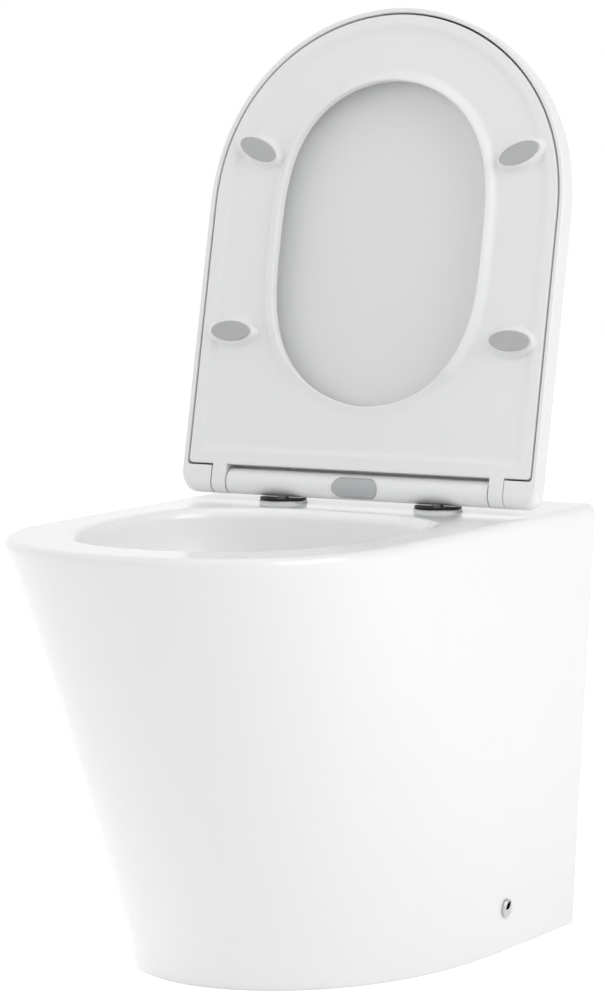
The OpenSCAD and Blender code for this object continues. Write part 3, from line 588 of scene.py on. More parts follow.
def break_edges(piece, width):
    """Rounds the sharp edges of a piece over this width."""
    edges = piece.modifiers.new("edges", "BEVEL")
    edges.width = width
    edges.segments = 2
    edges.angle_limit = math.radians(40)
    return baked(piece)


def dressed(name, node, bevel):
    """Copy of a CAD node with its flat faces made whole and its edges broken."""
    mesh = cleaned(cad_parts[node].data.copy(), 2e-6, flat_deg=1.2)
    return smooth_faces(break_edges(in_scene(name, mesh), bevel), 35)


moulding = finish_of("pale satin moulding", (0.6, 0.61, 0.62), (0.54, 0.55, 0.56),
    patch=30.0, gloss=(0.42, 0.12), wave=(60.0, 0.4), grain=(2600.0, 0.35), depth=0.08 * mm)
steel = finish_of("turned steel", (0.56, 0.565, 0.57), (0.43, 0.435, 0.44),
    patch=60.0, gloss=(0.3, 0.16), wave=(90.0, 0.3), grain=(700.0, 0.5), stretch_z=5.0, depth=0.04 * mm,
    Metallic=1.0)
chrome = finish_of("chrome plate", (0.5, 0.507, 0.515), (0.45, 0.457, 0.465),
    patch=40.0, gloss=(0.05, 0.03), wave=(70.0, 0.6), grain=(1800.0, 0.05), depth=0.02 * mm, Metallic=1.0)
# near-black colour for the floor of the caps' leaf-shaped slot: a painted dark reflection
near_black_painted_reflection = finish_of("slot floor painted dark as a reflection", (0.004, 0.004, 0.004), (0.008, 0.008, 0.008),
    patch=60.0, gloss=(0.5, 0.1), wave=(90.0, 0.2), grain=(2000.0, 0.2), depth=0.02 * mm,
    Specular_IOR_Level=0.0)

# wire wound in a helix from z 0 up: the ridge of a screw thread, or a spring
helix_group, helix_given, helix_made = node_group("wire helix", "GeometryNodeTree", {
    "Length": "Float", "Radius": "Float", "Pitch": "Float",
    "Wire Radius": "Float", "Wire Sides": "Int", "Material": "Material",
}, {"Geometry": "Geometry"})
turns = math_node(helix_group, "DIVIDE", helix_given["Length"], helix_given["Pitch"])
helix = add_node(helix_group, "GeometryNodeCurveSpiral", {
    "Resolution": 28, "Rotations": turns, "Height": helix_given["Length"],
    "Start Radius": helix_given["Radius"], "End Radius": helix_given["Radius"],
})
upright = add_node(helix_group, "GeometryNodeSetCurveNormal", {"Curve": helix.outputs[0]}, mode="Z_UP")
wire = add_node(helix_group, "GeometryNodeCurvePrimitiveCircle", {
    "Resolution": helix_given["Wire Sides"], "Radius": helix_given["Wire Radius"]})
sweep = add_node(helix_group, "GeometryNodeCurveToMesh", {
    "Curve": upright.outputs[0], "Profile Curve": wire.outputs[0], "Fill Caps": True})
plain = add_node(helix_group, "GeometryNodeRealizeInstances", {0: sweep.outputs[0]})
paint = add_node(helix_group, "GeometryNodeSetMaterial", {
    "Geometry": plain.outputs[0], "Material": helix_given["Material"]})
helix_group.links.new(paint.outputs[0], helix_made[0])


def wire_helix(name, start, along, **values):
    """Helix of steel wire from start along the axis; the values are the group's inputs."""
    piece = in_scene(name, bpy.data.meshes.new(name))
    build = piece.modifiers.new("helix", "NODES")
    build.node_group = helix_group
    for label, value in {**values, "Material": steel}.items():
        build[helix_group.interface.items_tree[label.replace("_", " ")].identifier] = value
    baked(piece)
    turn = Vector(along).to_track_quat("Z", "Y").to_matrix().to_4x4()
    piece.data.transform(Matrix.Translation(Vector(start)) @ turn)
    return smooth_faces(piece, 40)


core_end = 0.6 * mm


def threaded_rod(name, start, along, length, r, pitch):
    """Screw thread of this length from start, on a core that goes on past both its ends by core_end."""
    ridge_h = 0.3 * pitch
    core = rod("core", start - along * core_end, start + along * (length + core_end), r - ridge_h, 48)
    ridge = wire_helix("ridge", start, along, Length=length, Radius=r - ridge_h, Pitch=pitch,
                       Wire_Radius=ridge_h, Wire_Sides=4)
    return joined(name, core, ridge)


def joined(name, *parts):
    """One object from several, in the first one's place."""
    bm = bmesh.new()
    for part in parts:
        bm.from_mesh(part.data)
    mesh = bpy.data.meshes.new(name)
    bm.to_mesh(mesh)
    bm.free()
    for part in parts:
        bpy.data.objects.remove(part)
    return smooth_faces(in_scene(name, mesh), 30)


flange_t = 1 * mm
cap_r = 8.5 * mm
cap_t = 3.6 * mm
cap_edge_r = 1.4 * mm
crown_h = 0.5 * mm
slot_lean = math.radians(53)
slot_half_l_cap = 5.3 * mm
slot_half_w_cap = 2.6 * mm
slot_depth = 0.5 * mm
slot_up, slot_forward = 3 * mm, 0.95 * mm
side_screw_r = 3 * mm
side_screw_l = 42 * mm
side_screw_pitch = 1 * mm
screw_head_r = 4.8 * mm
screw_head_h = 1.4 * mm


def painted_reflection_leaf(side, spot, out):
    """Leaf-shaped tool that sinks a shallow slot into a cap's face; the slot's floor is painted near-black as
    a painted reflection.
    """
    aside = Vector((0, 1, 0))
    upward = out.cross(aside) * side
    lean = aside * math.sin(slot_lean) + upward * math.cos(slot_lean)
    across = lean.cross(out)
    middle = spot + upward * slot_up - aside * slot_forward
    leaf = []
    for a in full_turn(40):
        width = slot_half_w_cap * math.sin(a) * math.sqrt(abs(math.sin(a)))
        leaf.append(list(middle + lean * slot_half_l_cap * math.cos(a) + across * width))
    heights = (cap_t - crown_h - slot_depth, cap_t + 1 * mm)
    return skin("painted_reflection_leaf", [np.array(leaf) + np.array(out * z) for z in heights])


for side, word in ((-1, "left"), (1, "right")):
    spot, out = side_place(side)
    place_piece(dressed("bracket_" + word, "floor_bracket_" + word, 0.7 * mm),
                "pan", "floor_bracket_" + word, moulding)
    sleeve = lathed("sleeve_" + word, [
        (side_screw_r + snug, -skirt_t - 1 * mm), (sleeve_r, -skirt_t - 1 * mm), (sleeve_r, 0),
        (cap_r - 0.5 * mm, 0), (cap_r - 0.5 * mm, flange_t), (side_screw_r + snug, flange_t),
    ], 0.25 * mm, spot, out)
    place_piece(sleeve, "pan", "side_sleeve_" + word, moulding)
    head = lathed("head", [
        (0, flange_t), (screw_head_r, flange_t),
        (screw_head_r, flange_t + screw_head_h), (0, flange_t + screw_head_h),
    ], 0.5 * mm, spot, out, ring_shaped=False)
    screw = threaded_rod("shank", spot + out * (flange_t - side_screw_l + core_end), out,
                         side_screw_l - 2 * core_end, side_screw_r, side_screw_pitch)
    place_piece(joined("screw_" + word, screw, head), "pan", "side_screw_" + word, steel)
    inner_r = cap_r - 0.45 * mm
    face_z = cap_t - crown_h
    cap = turned("cap_" + word, [
        (inner_r, 0.15 * mm), (inner_r + 0.1 * mm, 0.02 * mm),
        (cap_r - 0.1 * mm, 0.02 * mm), (cap_r, 0.12 * mm),
        *[(cap_r - inset, face_z - drop) for inset, drop in rounding(cap_edge_r, quarter[:-3])],
        *[((cap_r - cap_edge_r) * t, face_z + crown_h * (1 - t * t)) for t in np.linspace(0.98, 0.01, 12)],
        *[(inner_r * t, face_z - 0.8 * mm) for t in (0.01, 0.2, 0.6, 0.97, 1)],
    ], spot, out, ring_shaped=True)
    carve(cap, painted_reflection_leaf(side, spot, out))

    def in_painted_reflection_slot(face):
        from_axis = (face.center - spot).cross(out).length
        height = (face.center - spot).dot(out)
        crown = face_z + crown_h * (1 - (from_axis / (cap_r - cap_edge_r)) ** 2)
        on_face = from_axis < cap_r - cap_edge_r
        return on_face and face_z - slot_depth - 0.01 * mm < height < crown - 0.06 * mm

    # the slot's faces take the near-black colour, a painted dark reflection in the chrome cap
    finish_faces(cap, chrome, near_black_painted_reflection, in_painted_reflection_slot)
    smooth_faces(cap)
    place_piece(cap, "pan", "side_cap_" + word)

# ----------------------------
# Hinge posts
# A steel post stands over each hole of the deck on a chrome rosette and a thin gasket. Its threaded stud
# goes down through a rubber washer, and a wing nut clamps it from under the deck.
rubber = finish_of("black rubber", (0.03, 0.03, 0.032), (0.055, 0.055, 0.056),
    patch=50.0, gloss=(0.62, 0.14), wave=(90.0, 0.5), grain=(3000.0, 0.5), depth=0.06 * mm)
gasket_plastic = finish_of("milky gasket", (0.78, 0.785, 0.79), (0.72, 0.725, 0.73),
    patch=60.0, gloss=(0.38, 0.1), wave=(90.0, 0.4), grain=(3000.0, 0.2), depth=0.04 * mm,
    Subsurface_Weight=0.25, Subsurface_Scale=1.5 * mm)
# near-black colour for the rosettes' faces: a painted dark reflection of chrome
rosette_painted_reflection = finish_of("rosette face painted dark as a reflection", (0.014, 0.014, 0.015), (0.022, 0.022, 0.023),
    patch=60.0, gloss=(0.2, 0.08), wave=(90.0, 0.3), grain=(2200.0, 0.1), depth=0.02 * mm, IOR=1.22)
rosette_r = 22.5 * mm
rosette_t = 3.2 * mm
rosette_edge_r = 0.5 * mm
face_step_r = 21.5 * mm
gasket_t = 1.5 * mm
stud_r = 4 * mm
stud_l = 44 * mm
stud_pitch = 1.25 * mm
post_r = 5 * mm
post_top = 7 * mm
groove_half_h = 4.4 * mm
groove_depth = 1.4 * mm
washer_r = 13 * mm
washer_t = 6 * mm
up = Vector((0, 0, 1))
for side, word in ((-1, "left"), (1, "right")):
    deck = Vector((side * post_x, hinge_y, pan_h))
    bore = stud_r + snug
    gasket = lathed("gasket_" + word, [
        (bore, 0), (rosette_r - 0.5 * mm, 0), (rosette_r - 0.5 * mm, gasket_t), (bore, gasket_t),
    ], 0.4 * mm, deck, up)
    place_piece(gasket, "pan", "rosette_gasket_" + word, gasket_plastic)
    top = gasket_t + rosette_t
    rosette = turned("rosette_" + word, [
        (bore, gasket_t), (rosette_r - 0.2 * mm, gasket_t), (rosette_r, gasket_t + 0.2 * mm),
        (rosette_r, gasket_t + 0.5 * mm), (rosette_r - 0.25 * mm, gasket_t + 0.75 * mm),
        (face_step_r + 0.2 * mm, gasket_t + 0.8 * mm), (face_step_r, gasket_t + 0.85 * mm),
        *[(face_step_r - inset, top - drop) for inset, drop in rounding(rosette_edge_r, quarter)],
        *[(r, top) for r in (16 * mm, 8 * mm)],
        (bore + 0.2 * mm, top), (bore, top - 0.2 * mm),
    ], deck, up, ring_shaped=True, sides=160)
    # above the step of its rim the rosette's face is painted near-black, a painted dark reflection; the rim
    # stays chrome
    finish_faces(rosette, chrome, rosette_painted_reflection, lambda face: face.center.z > deck.z + gasket_t + 0.86 * mm)
    place_piece(rosette, "pan", "rosette_" + word)
    axis = axis_z - pan_h
    shaft = lathed("shaft", [
        (0, top), (post_r, top), (post_r, axis - groove_half_h),
        (post_r - groove_depth, axis - groove_half_h), (post_r - groove_depth, axis + groove_half_h),
        (post_r, axis + groove_half_h), (post_r, axis + post_top), (0, axis + post_top),
    ], 0.3 * mm, deck, up, ring_shaped=False)
    stud = threaded_rod("stud", deck - up * (stud_l - core_end), up, stud_l + top - 2 * core_end,
                        stud_r, stud_pitch)
    place_piece(joined("post_" + word, shaft, stud), "pan", "hinge_post_" + word, steel)
    neck_r = stud_hole_r - 0.3 * mm
    washer = lathed("washer_" + word, [
        (bore, -deck_t - washer_t), (washer_r, -deck_t - washer_t), (washer_r, -deck_t), (neck_r, -deck_t),
        (neck_r, -3 * mm), (bore, -3 * mm),
    ], 0.8 * mm, deck, up)
    place_piece(washer, "pan", "deck_washer_" + word, rubber)
    place_piece(dressed("wing_nut_" + word, "wing_nut_" + word, 0.6 * mm),
                "pan", "wing_nut_" + word, moulding)

# ----------------------------
# Hinge bar
# White moulded bar that slides down over the posts. A strip shuts the channel in its back, and each end
# holds a rotary damper of brushed steel.
white = finish_of("white gloss moulding", (0.83, 0.835, 0.835), (0.81, 0.816, 0.818),
    patch=6.0, gloss=(0.24, 0.05), wave=(22.0, 0.5), grain=(1100.0, 0.05), depth=0.12 * mm, IOR=1.5)
bar_r = 11.8 * mm
bar_half_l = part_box("hinge_bar")[1].x
bar_edge_r = 1.2 * mm
channel_half_l = 70 * mm
channel_half_h = 6.5 * mm
channel_front = 5.2 * mm
damper_r = 8 * mm
damper_start = 93.1 * mm
button_half_l = 23 * mm
button_half_h = 9 * mm
slide_gap = 0.3 * mm
hinge = Vector((0, hinge_y, axis_z))


def plate(name, outline, z0, z1):
    """Flat piece between two heights out of its outline, seen from above."""
    return skin(name, [at_height(np.array(outline), z) for z in (z0, z1)])


def block(name, low, high):
    """Box between two corners given from the hinge axis."""
    low, high = hinge + Vector(low), hinge + Vector(high)
    return plate(name, [(low.x, low.y), (high.x, low.y), (high.x, high.y), (low.x, high.y)], low.z, high.z)


def oval(half_l, half_h, steps=28):
    """Straight-sided oval with its centre at 0."""
    a = np.radians(np.linspace(-90, 90, steps))
    right = columns(half_l - half_h + half_h * np.cos(a), half_h * np.sin(a))
    return np.concatenate([right, -right])


def standing(outline, y):
    """Upright ring at y from the hinge axis, out of an outline seen from the front."""
    y = np.broadcast_to(y, len(outline))
    return columns(hinge.x + outline[:, 0], hinge.y + y, hinge.z + outline[:, 1])


ends = [(bar_r - drop, bar_half_l - inset) for inset, drop in rounding(bar_edge_r, quarter)]
bar = turned("hinge_bar_white", [
    *[(r, -x) for r, x in ends],
    *[(bar_r, x) for x in np.linspace(-bar_half_l, bar_half_l, 12)[1:-1]],
    *ends[::-1],
], hinge, (1, 0, 0), sides=160)
carve(bar, block("channel", (-channel_half_l, -channel_front, -channel_half_h),
                 (channel_half_l, 13 * mm, channel_half_h)))
recess = oval(button_half_l + slide_gap, button_half_h + slide_gap)
carve(bar, skin("recess", [standing(recess, y) for y in (-bar_r - 2 * mm, -0.2 * mm)]))
for side in (-1, 1):
    middle = hinge + Vector((side * post_x, 0, 0))
    carve(bar, rod("post_hole", middle - up * 14 * mm, middle + up * (post_top + slide_gap),
                   post_r + snug))
    carve(bar, rod("damper_hole", hinge + Vector((side * damper_start, 0, 0)),
                   hinge + Vector((side * (bar_half_l + 1 * mm), 0, 0)), damper_r + snug))
place_piece(smooth_faces(break_edges(bar, 0.3 * mm)), "pan", "hinge_bar", white)
place_piece(dressed("bar_cover", "hinge_bar_cover", 0.3 * mm), "pan", "hinge_bar_cover", white)
for word in ("lid_damper", "seat_damper"):
    place_piece(dressed(word + "_body", word, 0.4 * mm), "pan", word, steel)

# ----------------------------
# Release
# Long grey button in the middle of the bar. Behind it two latches lock in the posts' grooves, and a
# spring pushes them apart.
grey_button = finish_of("grey satin button", (0.455, 0.462, 0.47), (0.42, 0.427, 0.435),
    patch=50.0, gloss=(0.4, 0.08), wave=(80.0, 0.4), grain=(2800.0, 0.3), depth=0.05 * mm)
face_r = bar_r + 0.6 * mm
face_edge_r = 0.9 * mm
back_y, back_t, back_over = -2.8 * mm, 2 * mm, 2 * mm
prong_plan = np.array([(15, -3), (23, -3), (23, 5), (20.2, 5)]) * mm
prong_half_h = 1.5 * mm
face_rings = []
for inset, drop in [
    (0, 8.6 * mm), (0, 3 * mm),
    *rounding(face_edge_r, quarter[::2]),
    *[(inset, 0) for inset in (1.6 * mm, 3 * mm, 5 * mm, 7 * mm, 8.6 * mm)],
]:
    outline = oval(button_half_l - inset, button_half_h - inset)
    depth = -3.5 * mm if drop > 8 * mm else drop - np.sqrt(face_r ** 2 - outline[:, 1] ** 2)
    face_rings.append(standing(outline, depth))
button = skin("button_grey", face_rings)
carve(button, block("back", (-button_half_l - back_over, back_y - back_t, -channel_half_h + slide_gap),
                    (button_half_l + back_over, back_y, channel_half_h - slide_gap)), "UNION")
for side in (-1, 1):
    plan = prong_plan * (side, 1) + (hinge.x, hinge.y)
    carve(button, plate("prong", plan, axis_z - prong_half_h, axis_z + prong_half_h), "UNION")
place_piece(smooth_faces(button), "release_button", "release_button", grey_button)
for word in ("left", "right"):
    place_piece(dressed("latch_bolt_" + word, "latch_" + word, 0.3 * mm),
                "latch_" + word, "latch_" + word, moulding)

# the spring between the latches, one helix on a mesh of its own
spring_low, spring_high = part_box("latch_spring")
spring_middle = (spring_low + spring_high) / 2
spring_wire_r = 0.4 * mm
spring_coil_r = 2.2 * mm
spring_turns = 7
spring_half_l = spring_high.x - spring_wire_r
spring = wire_helix("latch_coil", spring_middle - Vector((spring_half_l, 0, 0)), (1, 0, 0),
                    Length=2 * spring_half_l, Radius=spring_coil_r, Pitch=2 * spring_half_l / spring_turns,
                    Wire_Radius=spring_wire_r, Wire_Sides=10)
place_piece(spring, "pan", "latch_spring", steel)
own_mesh(spring)

# ----------------------------
# Seat
# One white moulding: dish and raised oval pads on the underside, and a lip round the opening that rolls
# away on the sitting side. Four grey buffers are stuck to the pads, and two lugs turn on the hinge pins.
open_angle = math.radians(102.26)
raised = Matrix.Translation(hinge) @ Matrix.Rotation(-open_angle, 4, "X")
seat_half_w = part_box("seat_ring")[1].x
seat_straight = 251 * mm
seat_short = 5.7 * mm
seat_reach = pan_reach - (wall_y - hinge_y) - seat_short
seat_rear = 14 * mm
seat_t = 17.5 * mm
seat_under = -bar_r
seat_top = seat_under + seat_t
seat_shape = (1.95, 2.2)
hole_mid = 223 * mm
hole_half_w = 105.2 * mm
hole_half_l = 150 * mm
hole_shape = (1.9, 3.16)
seat_parts = (9, 70, 110, 380)
rear_pad = (143 * mm, 137 * mm, 0)
front_pad = (134 * mm, 307 * mm, -22)
pads = [(side * x, -y, side * turn) for side in (-1, 1) for x, y, turn in (rear_pad, front_pad)]
pad_h = 3 * mm
buffer_half_l = 20.25 * mm
buffer_half_w = 9.3 * mm
buffer_h = 1.9 * mm


def seat_shaped(half_w, rear, reach, corner=4 * mm):
    """Outline of the seat's kind, as seat, lid and the lid's inside have it."""
    return d_shape(half_w, rear, -seat_straight, -reach, corner, seat_shape, seat_parts)


def seat_outline(inset):
    return seat_shaped(seat_half_w - inset, -seat_rear - inset / 2, seat_reach - inset)


def seat_hole(a):
    """Edge of the seat's opening at the angles a round it."""
    return columns(
        hole_half_w * power(np.cos(a), 2 / hole_shape[0]),
        hole_half_l * power(np.sin(a), 2 / hole_shape[1]) - hole_mid,
    )


def away_from(points, outline):
    """Distance of each point from a closed outline."""
    start, step = outline, np.roll(outline, -1, axis=0) - outline
    length = np.maximum((step ** 2).sum(axis=1), 1e-16)
    t = np.clip(((points[:, None] - start) * step).sum(axis=2) / length, 0, 1)
    return np.linalg.norm(points[:, None] - start - step * t[:, :, None], axis=2).min(axis=1)


def away_from_buffers(points):
    """Distance of each point from the nearest buffer's edge, 0 or less under the buffer."""
    nearest = np.full(len(points), 1.0)
    for x, y, turn in pads:
        c, s = math.cos(math.radians(turn)), math.sin(math.radians(turn))
        offset = (points - (x, y)) @ np.array([[c, -s], [s, c]])
        share = np.maximum(np.linalg.norm(offset / (buffer_half_l, buffer_half_w), axis=1), 1e-6)
        nearest = np.minimum(nearest, np.linalg.norm(offset, axis=1) * (1 - 1 / share))
    return nearest


rim = seat_outline(0)
hole = seat_hole(angles_towards(rim, seat_hole, (0, -hole_mid)))
roll_w, roll_h = 1.6 * mm, 1.6 * mm
dish_d = 3 * mm
dish_rim, dish_rim_run = 8 * mm, 9 * mm
dish_hole, dish_hole_run = 2 * mm, 10 * mm
dish_rear, dish_rear_run = 24 * mm, 9 * mm
band_end, band_run = 88 * mm, 26 * mm
lip_w, lip_h = 11 * mm, 3.5 * mm
lip_start, lip_run, lip_rear_share = 60 * mm, 60 * mm, 0.35
pad_edge, pad_run = 1 * mm, 5.5 * mm


def underside(points):
    """Underside of the seat over these points: lip, dish, pads, rear band and roll."""
    from_hole = away_from(points, hole)
    from_rim = away_from(points, rim)
    forward = -points[:, 1]
    edge_kept = ease((forward - band_end) / band_run)
    dish = mix(1, ease((from_hole - dish_hole) / dish_hole_run), edge_kept)
    dish *= ease((from_rim - dish_rim) / dish_rim_run) * ease((forward - dish_rear) / dish_rear_run)
    fall = 1 - np.clip(from_hole / roll_w, 0, 1)
    lip = lip_h * (1 - ease(from_hole / lip_w))
    lip *= mix(lip_rear_share, 1, ease((forward - lip_start) / lip_run))
    plain = dish_d * dish + roll_h * (1 - np.sqrt(1 - fall ** 2)) - lip
    pad = 1 - ease((away_from_buffers(points) - pad_edge) / pad_run)
    return at_height(points, seat_under + mix(plain, -pad_h, pad))


spoke = rim - hole
spoke /= np.linalg.norm(spoke, axis=1)[:, None]
bevel_r, edge_r = 1.5 * mm, 4 * mm
top_roll_w, top_roll_h = 22 * mm, 14.5 * mm
roll_turn = np.radians(np.linspace(0, 90, 15))
inner = hole + spoke * roll_w
hole_z = underside(hole)[:, 2]
outer = seat_outline(bevel_r)
crown = seat_outline(edge_r)
seat = skin("seat_white", [
    *[underside(hole + spoke * roll_w * (1 - math.cos(a))) for a in roll_turn[::2]],
    *[underside(mix(inner, outer, t)) for t in np.linspace(0, 1, 52)[1:]],
    *[at_height(seat_outline(inset), seat_under + z)
      for z, inset in rounding(bevel_r, np.radians([30, 60, 90]))],
    *[at_height(rim, mix(seat_under + bevel_r, seat_top - edge_r, t)) for t in (0.33, 0.67)],
    *[at_height(seat_outline(inset), seat_top - drop)
      for inset, drop in rounding(edge_r, np.radians(np.linspace(0, 90, 9)))],
    *[at_height(mix(crown, hole + spoke * top_roll_w, t), seat_top)
      for t in (0.03, 0.2, 0.4, 0.6, 0.8, 0.97)],
    *[at_height(hole + spoke * top_roll_w * (1 - math.sin(a)), seat_top - top_roll_h * (1 - math.cos(a)))
      for a in roll_turn],
    *[at_height(hole, mix(seat_top - top_roll_h, hole_z, t)) for t in (0.33, 0.67)],
], ring_shaped=True)
lug_gap = 1.1 * mm
lug_w = 14.4 * mm
lug_in = bar_half_l + lug_gap
lug_out = lug_in + lug_w
lug_r = bar_r + 0.2 * mm
pin_r = 4 * mm
bush_t = 2 * mm
lug_edge_r = 1 * mm
lug_back, lug_shoulder, lug_tip, lug_heel = -14 * mm, -24 * mm, -30 * mm, -21 * mm
for side in (-1, 1):
    rings = []
    for inset, x in [
        *[(drop, lug_in + along) for along, drop in rounding(lug_edge_r, quarter[::3])],
        *[(drop, lug_out - along) for along, drop in rounding(lug_edge_r, quarter[::-3])],
    ]:
        turn = np.radians(np.linspace(-79.5, 90, 40))
        nose = columns((lug_r - inset) * np.cos(turn), (lug_r - inset) * np.sin(turn))
        nose[0, 1] = seat_under + inset
        plan = np.concatenate([nose, [
            (lug_back, lug_r - inset), (lug_shoulder, seat_top - inset),
            (lug_tip, seat_top - 1.5 * mm - inset), (lug_heel, seat_under + inset),
        ]])
        rings.append(columns(np.full(len(plan), side * x), plan[:, 0], plan[:, 1]))
    carve(seat, skin("lug", rings), "UNION")
    hole_r = pin_r + (bush_t if side < 0 else 0) + snug
    carve(seat, rod("pin_hole", (side * (lug_in - 1 * mm), 0, 0), (side * (lug_out + 1 * mm), 0, 0), hole_r))
seat.data.transform(raised)
place_piece(smooth_faces(seat, 30), "seat", "seat_ring", white)

grey_rubber = finish_of("grey soft rubber", (0.46, 0.465, 0.47), (0.425, 0.43, 0.435),
    patch=60.0, gloss=(0.55, 0.1), wave=(90.0, 0.4), grain=(2600.0, 0.4), depth=0.05 * mm)
buffer_edge_r = 0.8 * mm
round_turn = full_turn(96)
for x, y, turn in pads:
    word = ("rear_" if turn == 0 else "front_") + ("left" if x < 0 else "right")
    rings = []
    for inset, z in [
        (0.3 * mm, 0), (0, -0.3 * mm),
        *[(inset, drop - buffer_h) for inset, drop in rounding(buffer_edge_r, quarter[::2])],
        (2 * mm, -buffer_h), (5 * mm, -buffer_h), (8.4 * mm, -buffer_h),
    ]:
        level = [(buffer_half_l - inset) * np.cos(round_turn), (buffer_half_w - inset) * np.sin(round_turn)]
        rings.append(at_height(np.stack(level, axis=1), z))
    pad = skin("seat_buffer_" + word + "_pad", rings)
    pad.data.transform(
        raised @ Matrix.Translation((x, y, seat_under - pad_h)) @ Matrix.Rotation(math.radians(turn), 4, "Z"))
    place_piece(smooth_faces(pad), "seat", "seat_buffer_" + word, grey_rubber)
pin_in_bar, pin_in_lid_lug = 20.4 * mm, 18 * mm
lid_lug_in = lug_out + 1 * mm
pin_in = bar_half_l - pin_in_bar
pin_out = lid_lug_in + pin_in_lid_lug


def along_axis(name, x0, x1, outer_r, bore_r=0.0):
    """Pin or bush on the hinge axis."""
    profile = [(bore_r, x0), (outer_r, x0), (outer_r, x1), (bore_r, x1)]
    return lathed(name, profile, 0.3 * mm, hinge, (1, 0, 0), ring_shaped=bore_r > 0)


place_piece(along_axis("seat_pin", pin_in, pin_out, pin_r), "seat", "seat_hinge_pin", steel)
place_piece(along_axis("seat_bush_ring", -lug_out, -lug_in, pin_r + bush_t, pin_r + snug),
            "seat", "seat_bush", moulding)

# ----------------------------
# Lid
# White moulded cover that wraps round the seat. A deep skirt runs round its edge, and two corner lugs
# close over the ends of the hinge pins.
lid_half_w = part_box("lid")[1].x
lid_over = 6 * mm
lid_reach = seat_reach + lid_over
lid_h = 25.5 * mm
lid_panel_t = 4.5 * mm
lid_top = seat_under + lid_h
lid_inside = lid_top - lid_panel_t
room_corner_r = 4 * mm
lid_buffer_r = 6 * mm
lid_edge_r = 8 * mm
lid_corner_r = 11 * mm
lid_rear = 10 * mm
lid_gap = 1.75 * mm
lip_r = 1.3 * mm


def lid_level(z, inset=0.0):
    """Outline of the lid's outside at height z, rounded over at the top and round the lugs."""
    over = max(0, z - (lid_top - lid_edge_r))
    inset += lid_edge_r - math.sqrt(lid_edge_r ** 2 - over ** 2)
    bend = lug_r - 3 * mm
    back = math.sqrt(lug_r ** 2 - z ** 2) if z < bend else math.sqrt(lug_r ** 2 - bend ** 2) - (z - bend)
    return at_height(seat_shaped(lid_half_w - inset, back, lid_reach - inset, lid_corner_r), z)


def room_level(inset, z):
    """Outline of the room for the seat inside the lid at height z."""
    return at_height(seat_shaped(
        seat_half_w + lid_gap - inset, lid_gap - seat_rear, seat_reach + lid_gap - inset), z)


middle = np.array((0, -seat_reach / 2, 0))
top_ring = lid_level(lid_top)
inside_ring = room_level(room_corner_r, lid_inside)
lid = skin("lid_white", [
    *[mix(middle + (0, 0, lid_top), top_ring, t) for t in (0.15, 0.45, 0.75, 0.97)],
    *[lid_level(lid_top - drop) for inset, drop in rounding(lid_edge_r, quarter[::-1])],
    *[lid_level(z * mm) for z in (4.5, 3, 1.5, 0, -1.5, -3, -4.5, -6, -7.5, -8.8, -9.8)],
    *[lid_level(seat_under + z, inset) for z, inset in rounding(lip_r, quarter[::-3])],
    *[room_level(-inset, seat_under + z) for z, inset in rounding(lip_r, quarter[::3])],
    *[room_level(0, mix(seat_under + lip_r, lid_inside - room_corner_r, t)) for t in (0.33, 0.67)],
    *[room_level(inset, lid_inside - drop) for inset, drop in rounding(room_corner_r, quarter)],
    *[mix(inside_ring, middle + (0, 0, lid_inside), t) for t in (0.03, 0.25, 0.55, 0.85)],
])


wide = lid_lug_in
clear = 20 * mm
carve(lid, plate("gate", softened([
    (-wide, -lid_rear), (wide, -lid_rear), (wide, 2 * clear), (-wide, 2 * clear),
], 3 * mm), -clear, clear))
carve(lid, plate("step", [(-wide, -clear), (wide, -clear), (wide, 0), (-wide, 0)], -clear, lid_inside))
for side in (-1, 1):
    hole_r = pin_r + (bush_t if side > 0 else 0) + snug
    carve(lid, rod("pin_hole", (side * (lid_lug_in - 1 * mm), 0, 0), (side * (pin_out + slide_gap), 0, 0),
                   hole_r))
# the faces inside the lid's recess are the same plastic in a darker colour, painted shade of the recess, with
# a satin gloss
satin = finish_of("white satin moulding with painted shade", (0.785, 0.79, 0.79), (0.765, 0.77, 0.772),
    patch=6.0, gloss=(0.4, 0.06), wave=(22.0, 0.4), grain=(1500.0, 0.12), depth=0.12 * mm, IOR=1.45)
finish_faces(lid, white, satin,
             lambda face: face.normal.z < -0.05 and face.center.z > lid_inside - 5 * mm)
lid.data.transform(raised)
place_piece(smooth_faces(lid, 30), "lid", "lid")
place_piece(along_axis("lid_pin", -pin_out, -pin_in, pin_r), "lid", "lid_hinge_pin", steel)
place_piece(along_axis("lid_bush_ring", lid_lug_in, pin_out, pin_r + bush_t, pin_r + snug),
            "lid", "lid_bush", moulding)
for side, word in ((-1, "left"), (1, "right")):
    base = raised @ Vector((side * front_pad[0], -front_pad[1], lid_inside))
    down = raised.to_3x3() @ Vector((0, 0, -1))
    height = lid_inside - seat_top - slide_gap
    stud = lathed("lid_buffer_" + word + "_pad", [
        (0, 0), (lid_buffer_r, 0), (lid_buffer_r, height), (0, height),
    ], 0.9 * mm, base, down, ring_shaped=False)
    place_piece(stud, "lid", "lid_buffer_" + word, grey_rubber)

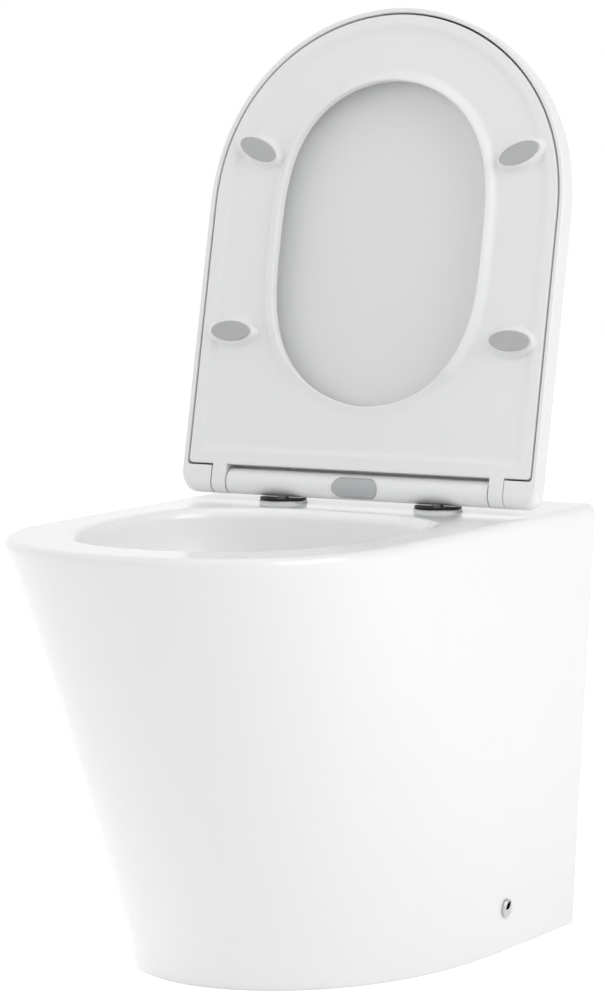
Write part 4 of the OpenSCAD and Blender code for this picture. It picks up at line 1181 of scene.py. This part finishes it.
# ----------------------------
# Studio
# White floor without an edge in view, a white room lit from its side walls, and two broad soft lamps,
# one high on the right and one above.
floor_glow = 0.47
studio_world = bpy.data.worlds.new("white room")
bpy.context.scene.world = studio_world
studio_world.use_nodes = True
room = studio_world.node_tree
room.nodes.clear()
place = add_node(room, "ShaderNodeTexCoord", {}).outputs["Generated"]
sideways = add_node(room, "ShaderNodeSeparateXYZ", {0: place})
walls = []
for axis, low_side, high_side in (("X", 1.5, 0.26), ("Y", 0.62, 0.3)):
    low_wall = math_node(room, "MULTIPLY", sideways.outputs[axis], -low_side)
    high_wall = math_node(room, "MULTIPLY", sideways.outputs[axis], high_side)
    walls.append(math_node(room, "MAXIMUM", low_wall, high_wall))
shed = add_node(room, "ShaderNodeBackground", {
    "Color": rgba(1, 1, 1), "Strength": math_node(room, "ADD", *walls)})
seen = add_node(room, "ShaderNodeBackground", {"Color": rgba(1, 1, 1)})


def seen_directly(tree):
    """1 for what the camera sees, also in a reflection, and 0 for the light that falls on the object."""
    ray = add_node(tree, "ShaderNodeLightPath", {}).outputs
    through = math_node(tree, "MAXIMUM", ray["Is Glossy Ray"], ray["Is Transmission Ray"])
    return math_node(tree, "MAXIMUM", ray["Is Camera Ray"], through)


choose = add_node(room, "ShaderNodeMixShader", {
    "Fac": seen_directly(room), 1: shed.outputs[0], 2: seen.outputs[0]})
add_node(room, "ShaderNodeOutputWorld", {"Surface": choose.outputs[0]})

floor = solid("floor", [(-6, -6, 0), (6, -6, 0), (6, 6, 0), (-6, 6, 0)], [(0, 1, 2, 3)])
if floor.data.polygons[0].normal.z < 0:
    floor.data.flip_normals()
floor_paint = finish_of("white floor", (1, 1, 1), (0.99, 0.99, 0.99),
    patch=2.0, gloss=(0.9, 0.02), wave=(3.0, 0.0), grain=(300.0, 0.0), Specular_IOR_Level=0.0)
glow = math_node(floor_paint.node_tree, "MULTIPLY", seen_directly(floor_paint.node_tree), floor_glow)
feed(floor_paint.node_tree.nodes["Principled BSDF"], {
    "Emission Color": rgba(1, 1, 1), "Emission Strength": glow})
floor.data.materials.append(floor_paint)


def soft_lamp(name, spot, width, watts):
    """Square lamp at the spot, turned to the middle of the toilet."""
    lamp = bpy.data.lights.new(name, "AREA")
    lamp.shape = "RECTANGLE"
    lamp.size = width
    lamp.size_y = width
    lamp.energy = watts
    holder = in_scene(name, lamp)
    holder.location = spot
    holder.rotation_euler = (Vector((0, 0, 0.35)) - Vector(spot)).to_track_quat("-Z", "Y").to_euler()


soft_lamp("lamp_right", (2.7, -0.2, 1.95), 2.4, 50)
soft_lamp("lamp_above", (0.2, 0, 3.2), 1.8, 8)

# ----------------------------
# Camera
# Long lens from the front right, a little above the seat. Its place, aim and focal length were fitted to
# the toilet's outlines in the photo.
lens = bpy.data.cameras.new("photo_lens")
lens.sensor_width = 36
lens.lens = 157.46
lens.clip_start = 0.05
lens.clip_end = 40
camera = in_scene("photo_camera", lens)
camera.location = (1.8586, -3.3241, 0.8093)
camera.rotation_euler = Vector((-0.4797, 0.8712, -0.1042)).to_track_quat("-Z", "Y").to_euler()
bpy.context.scene.camera = camera
bpy.context.scene.view_settings.view_transform = "Standard"
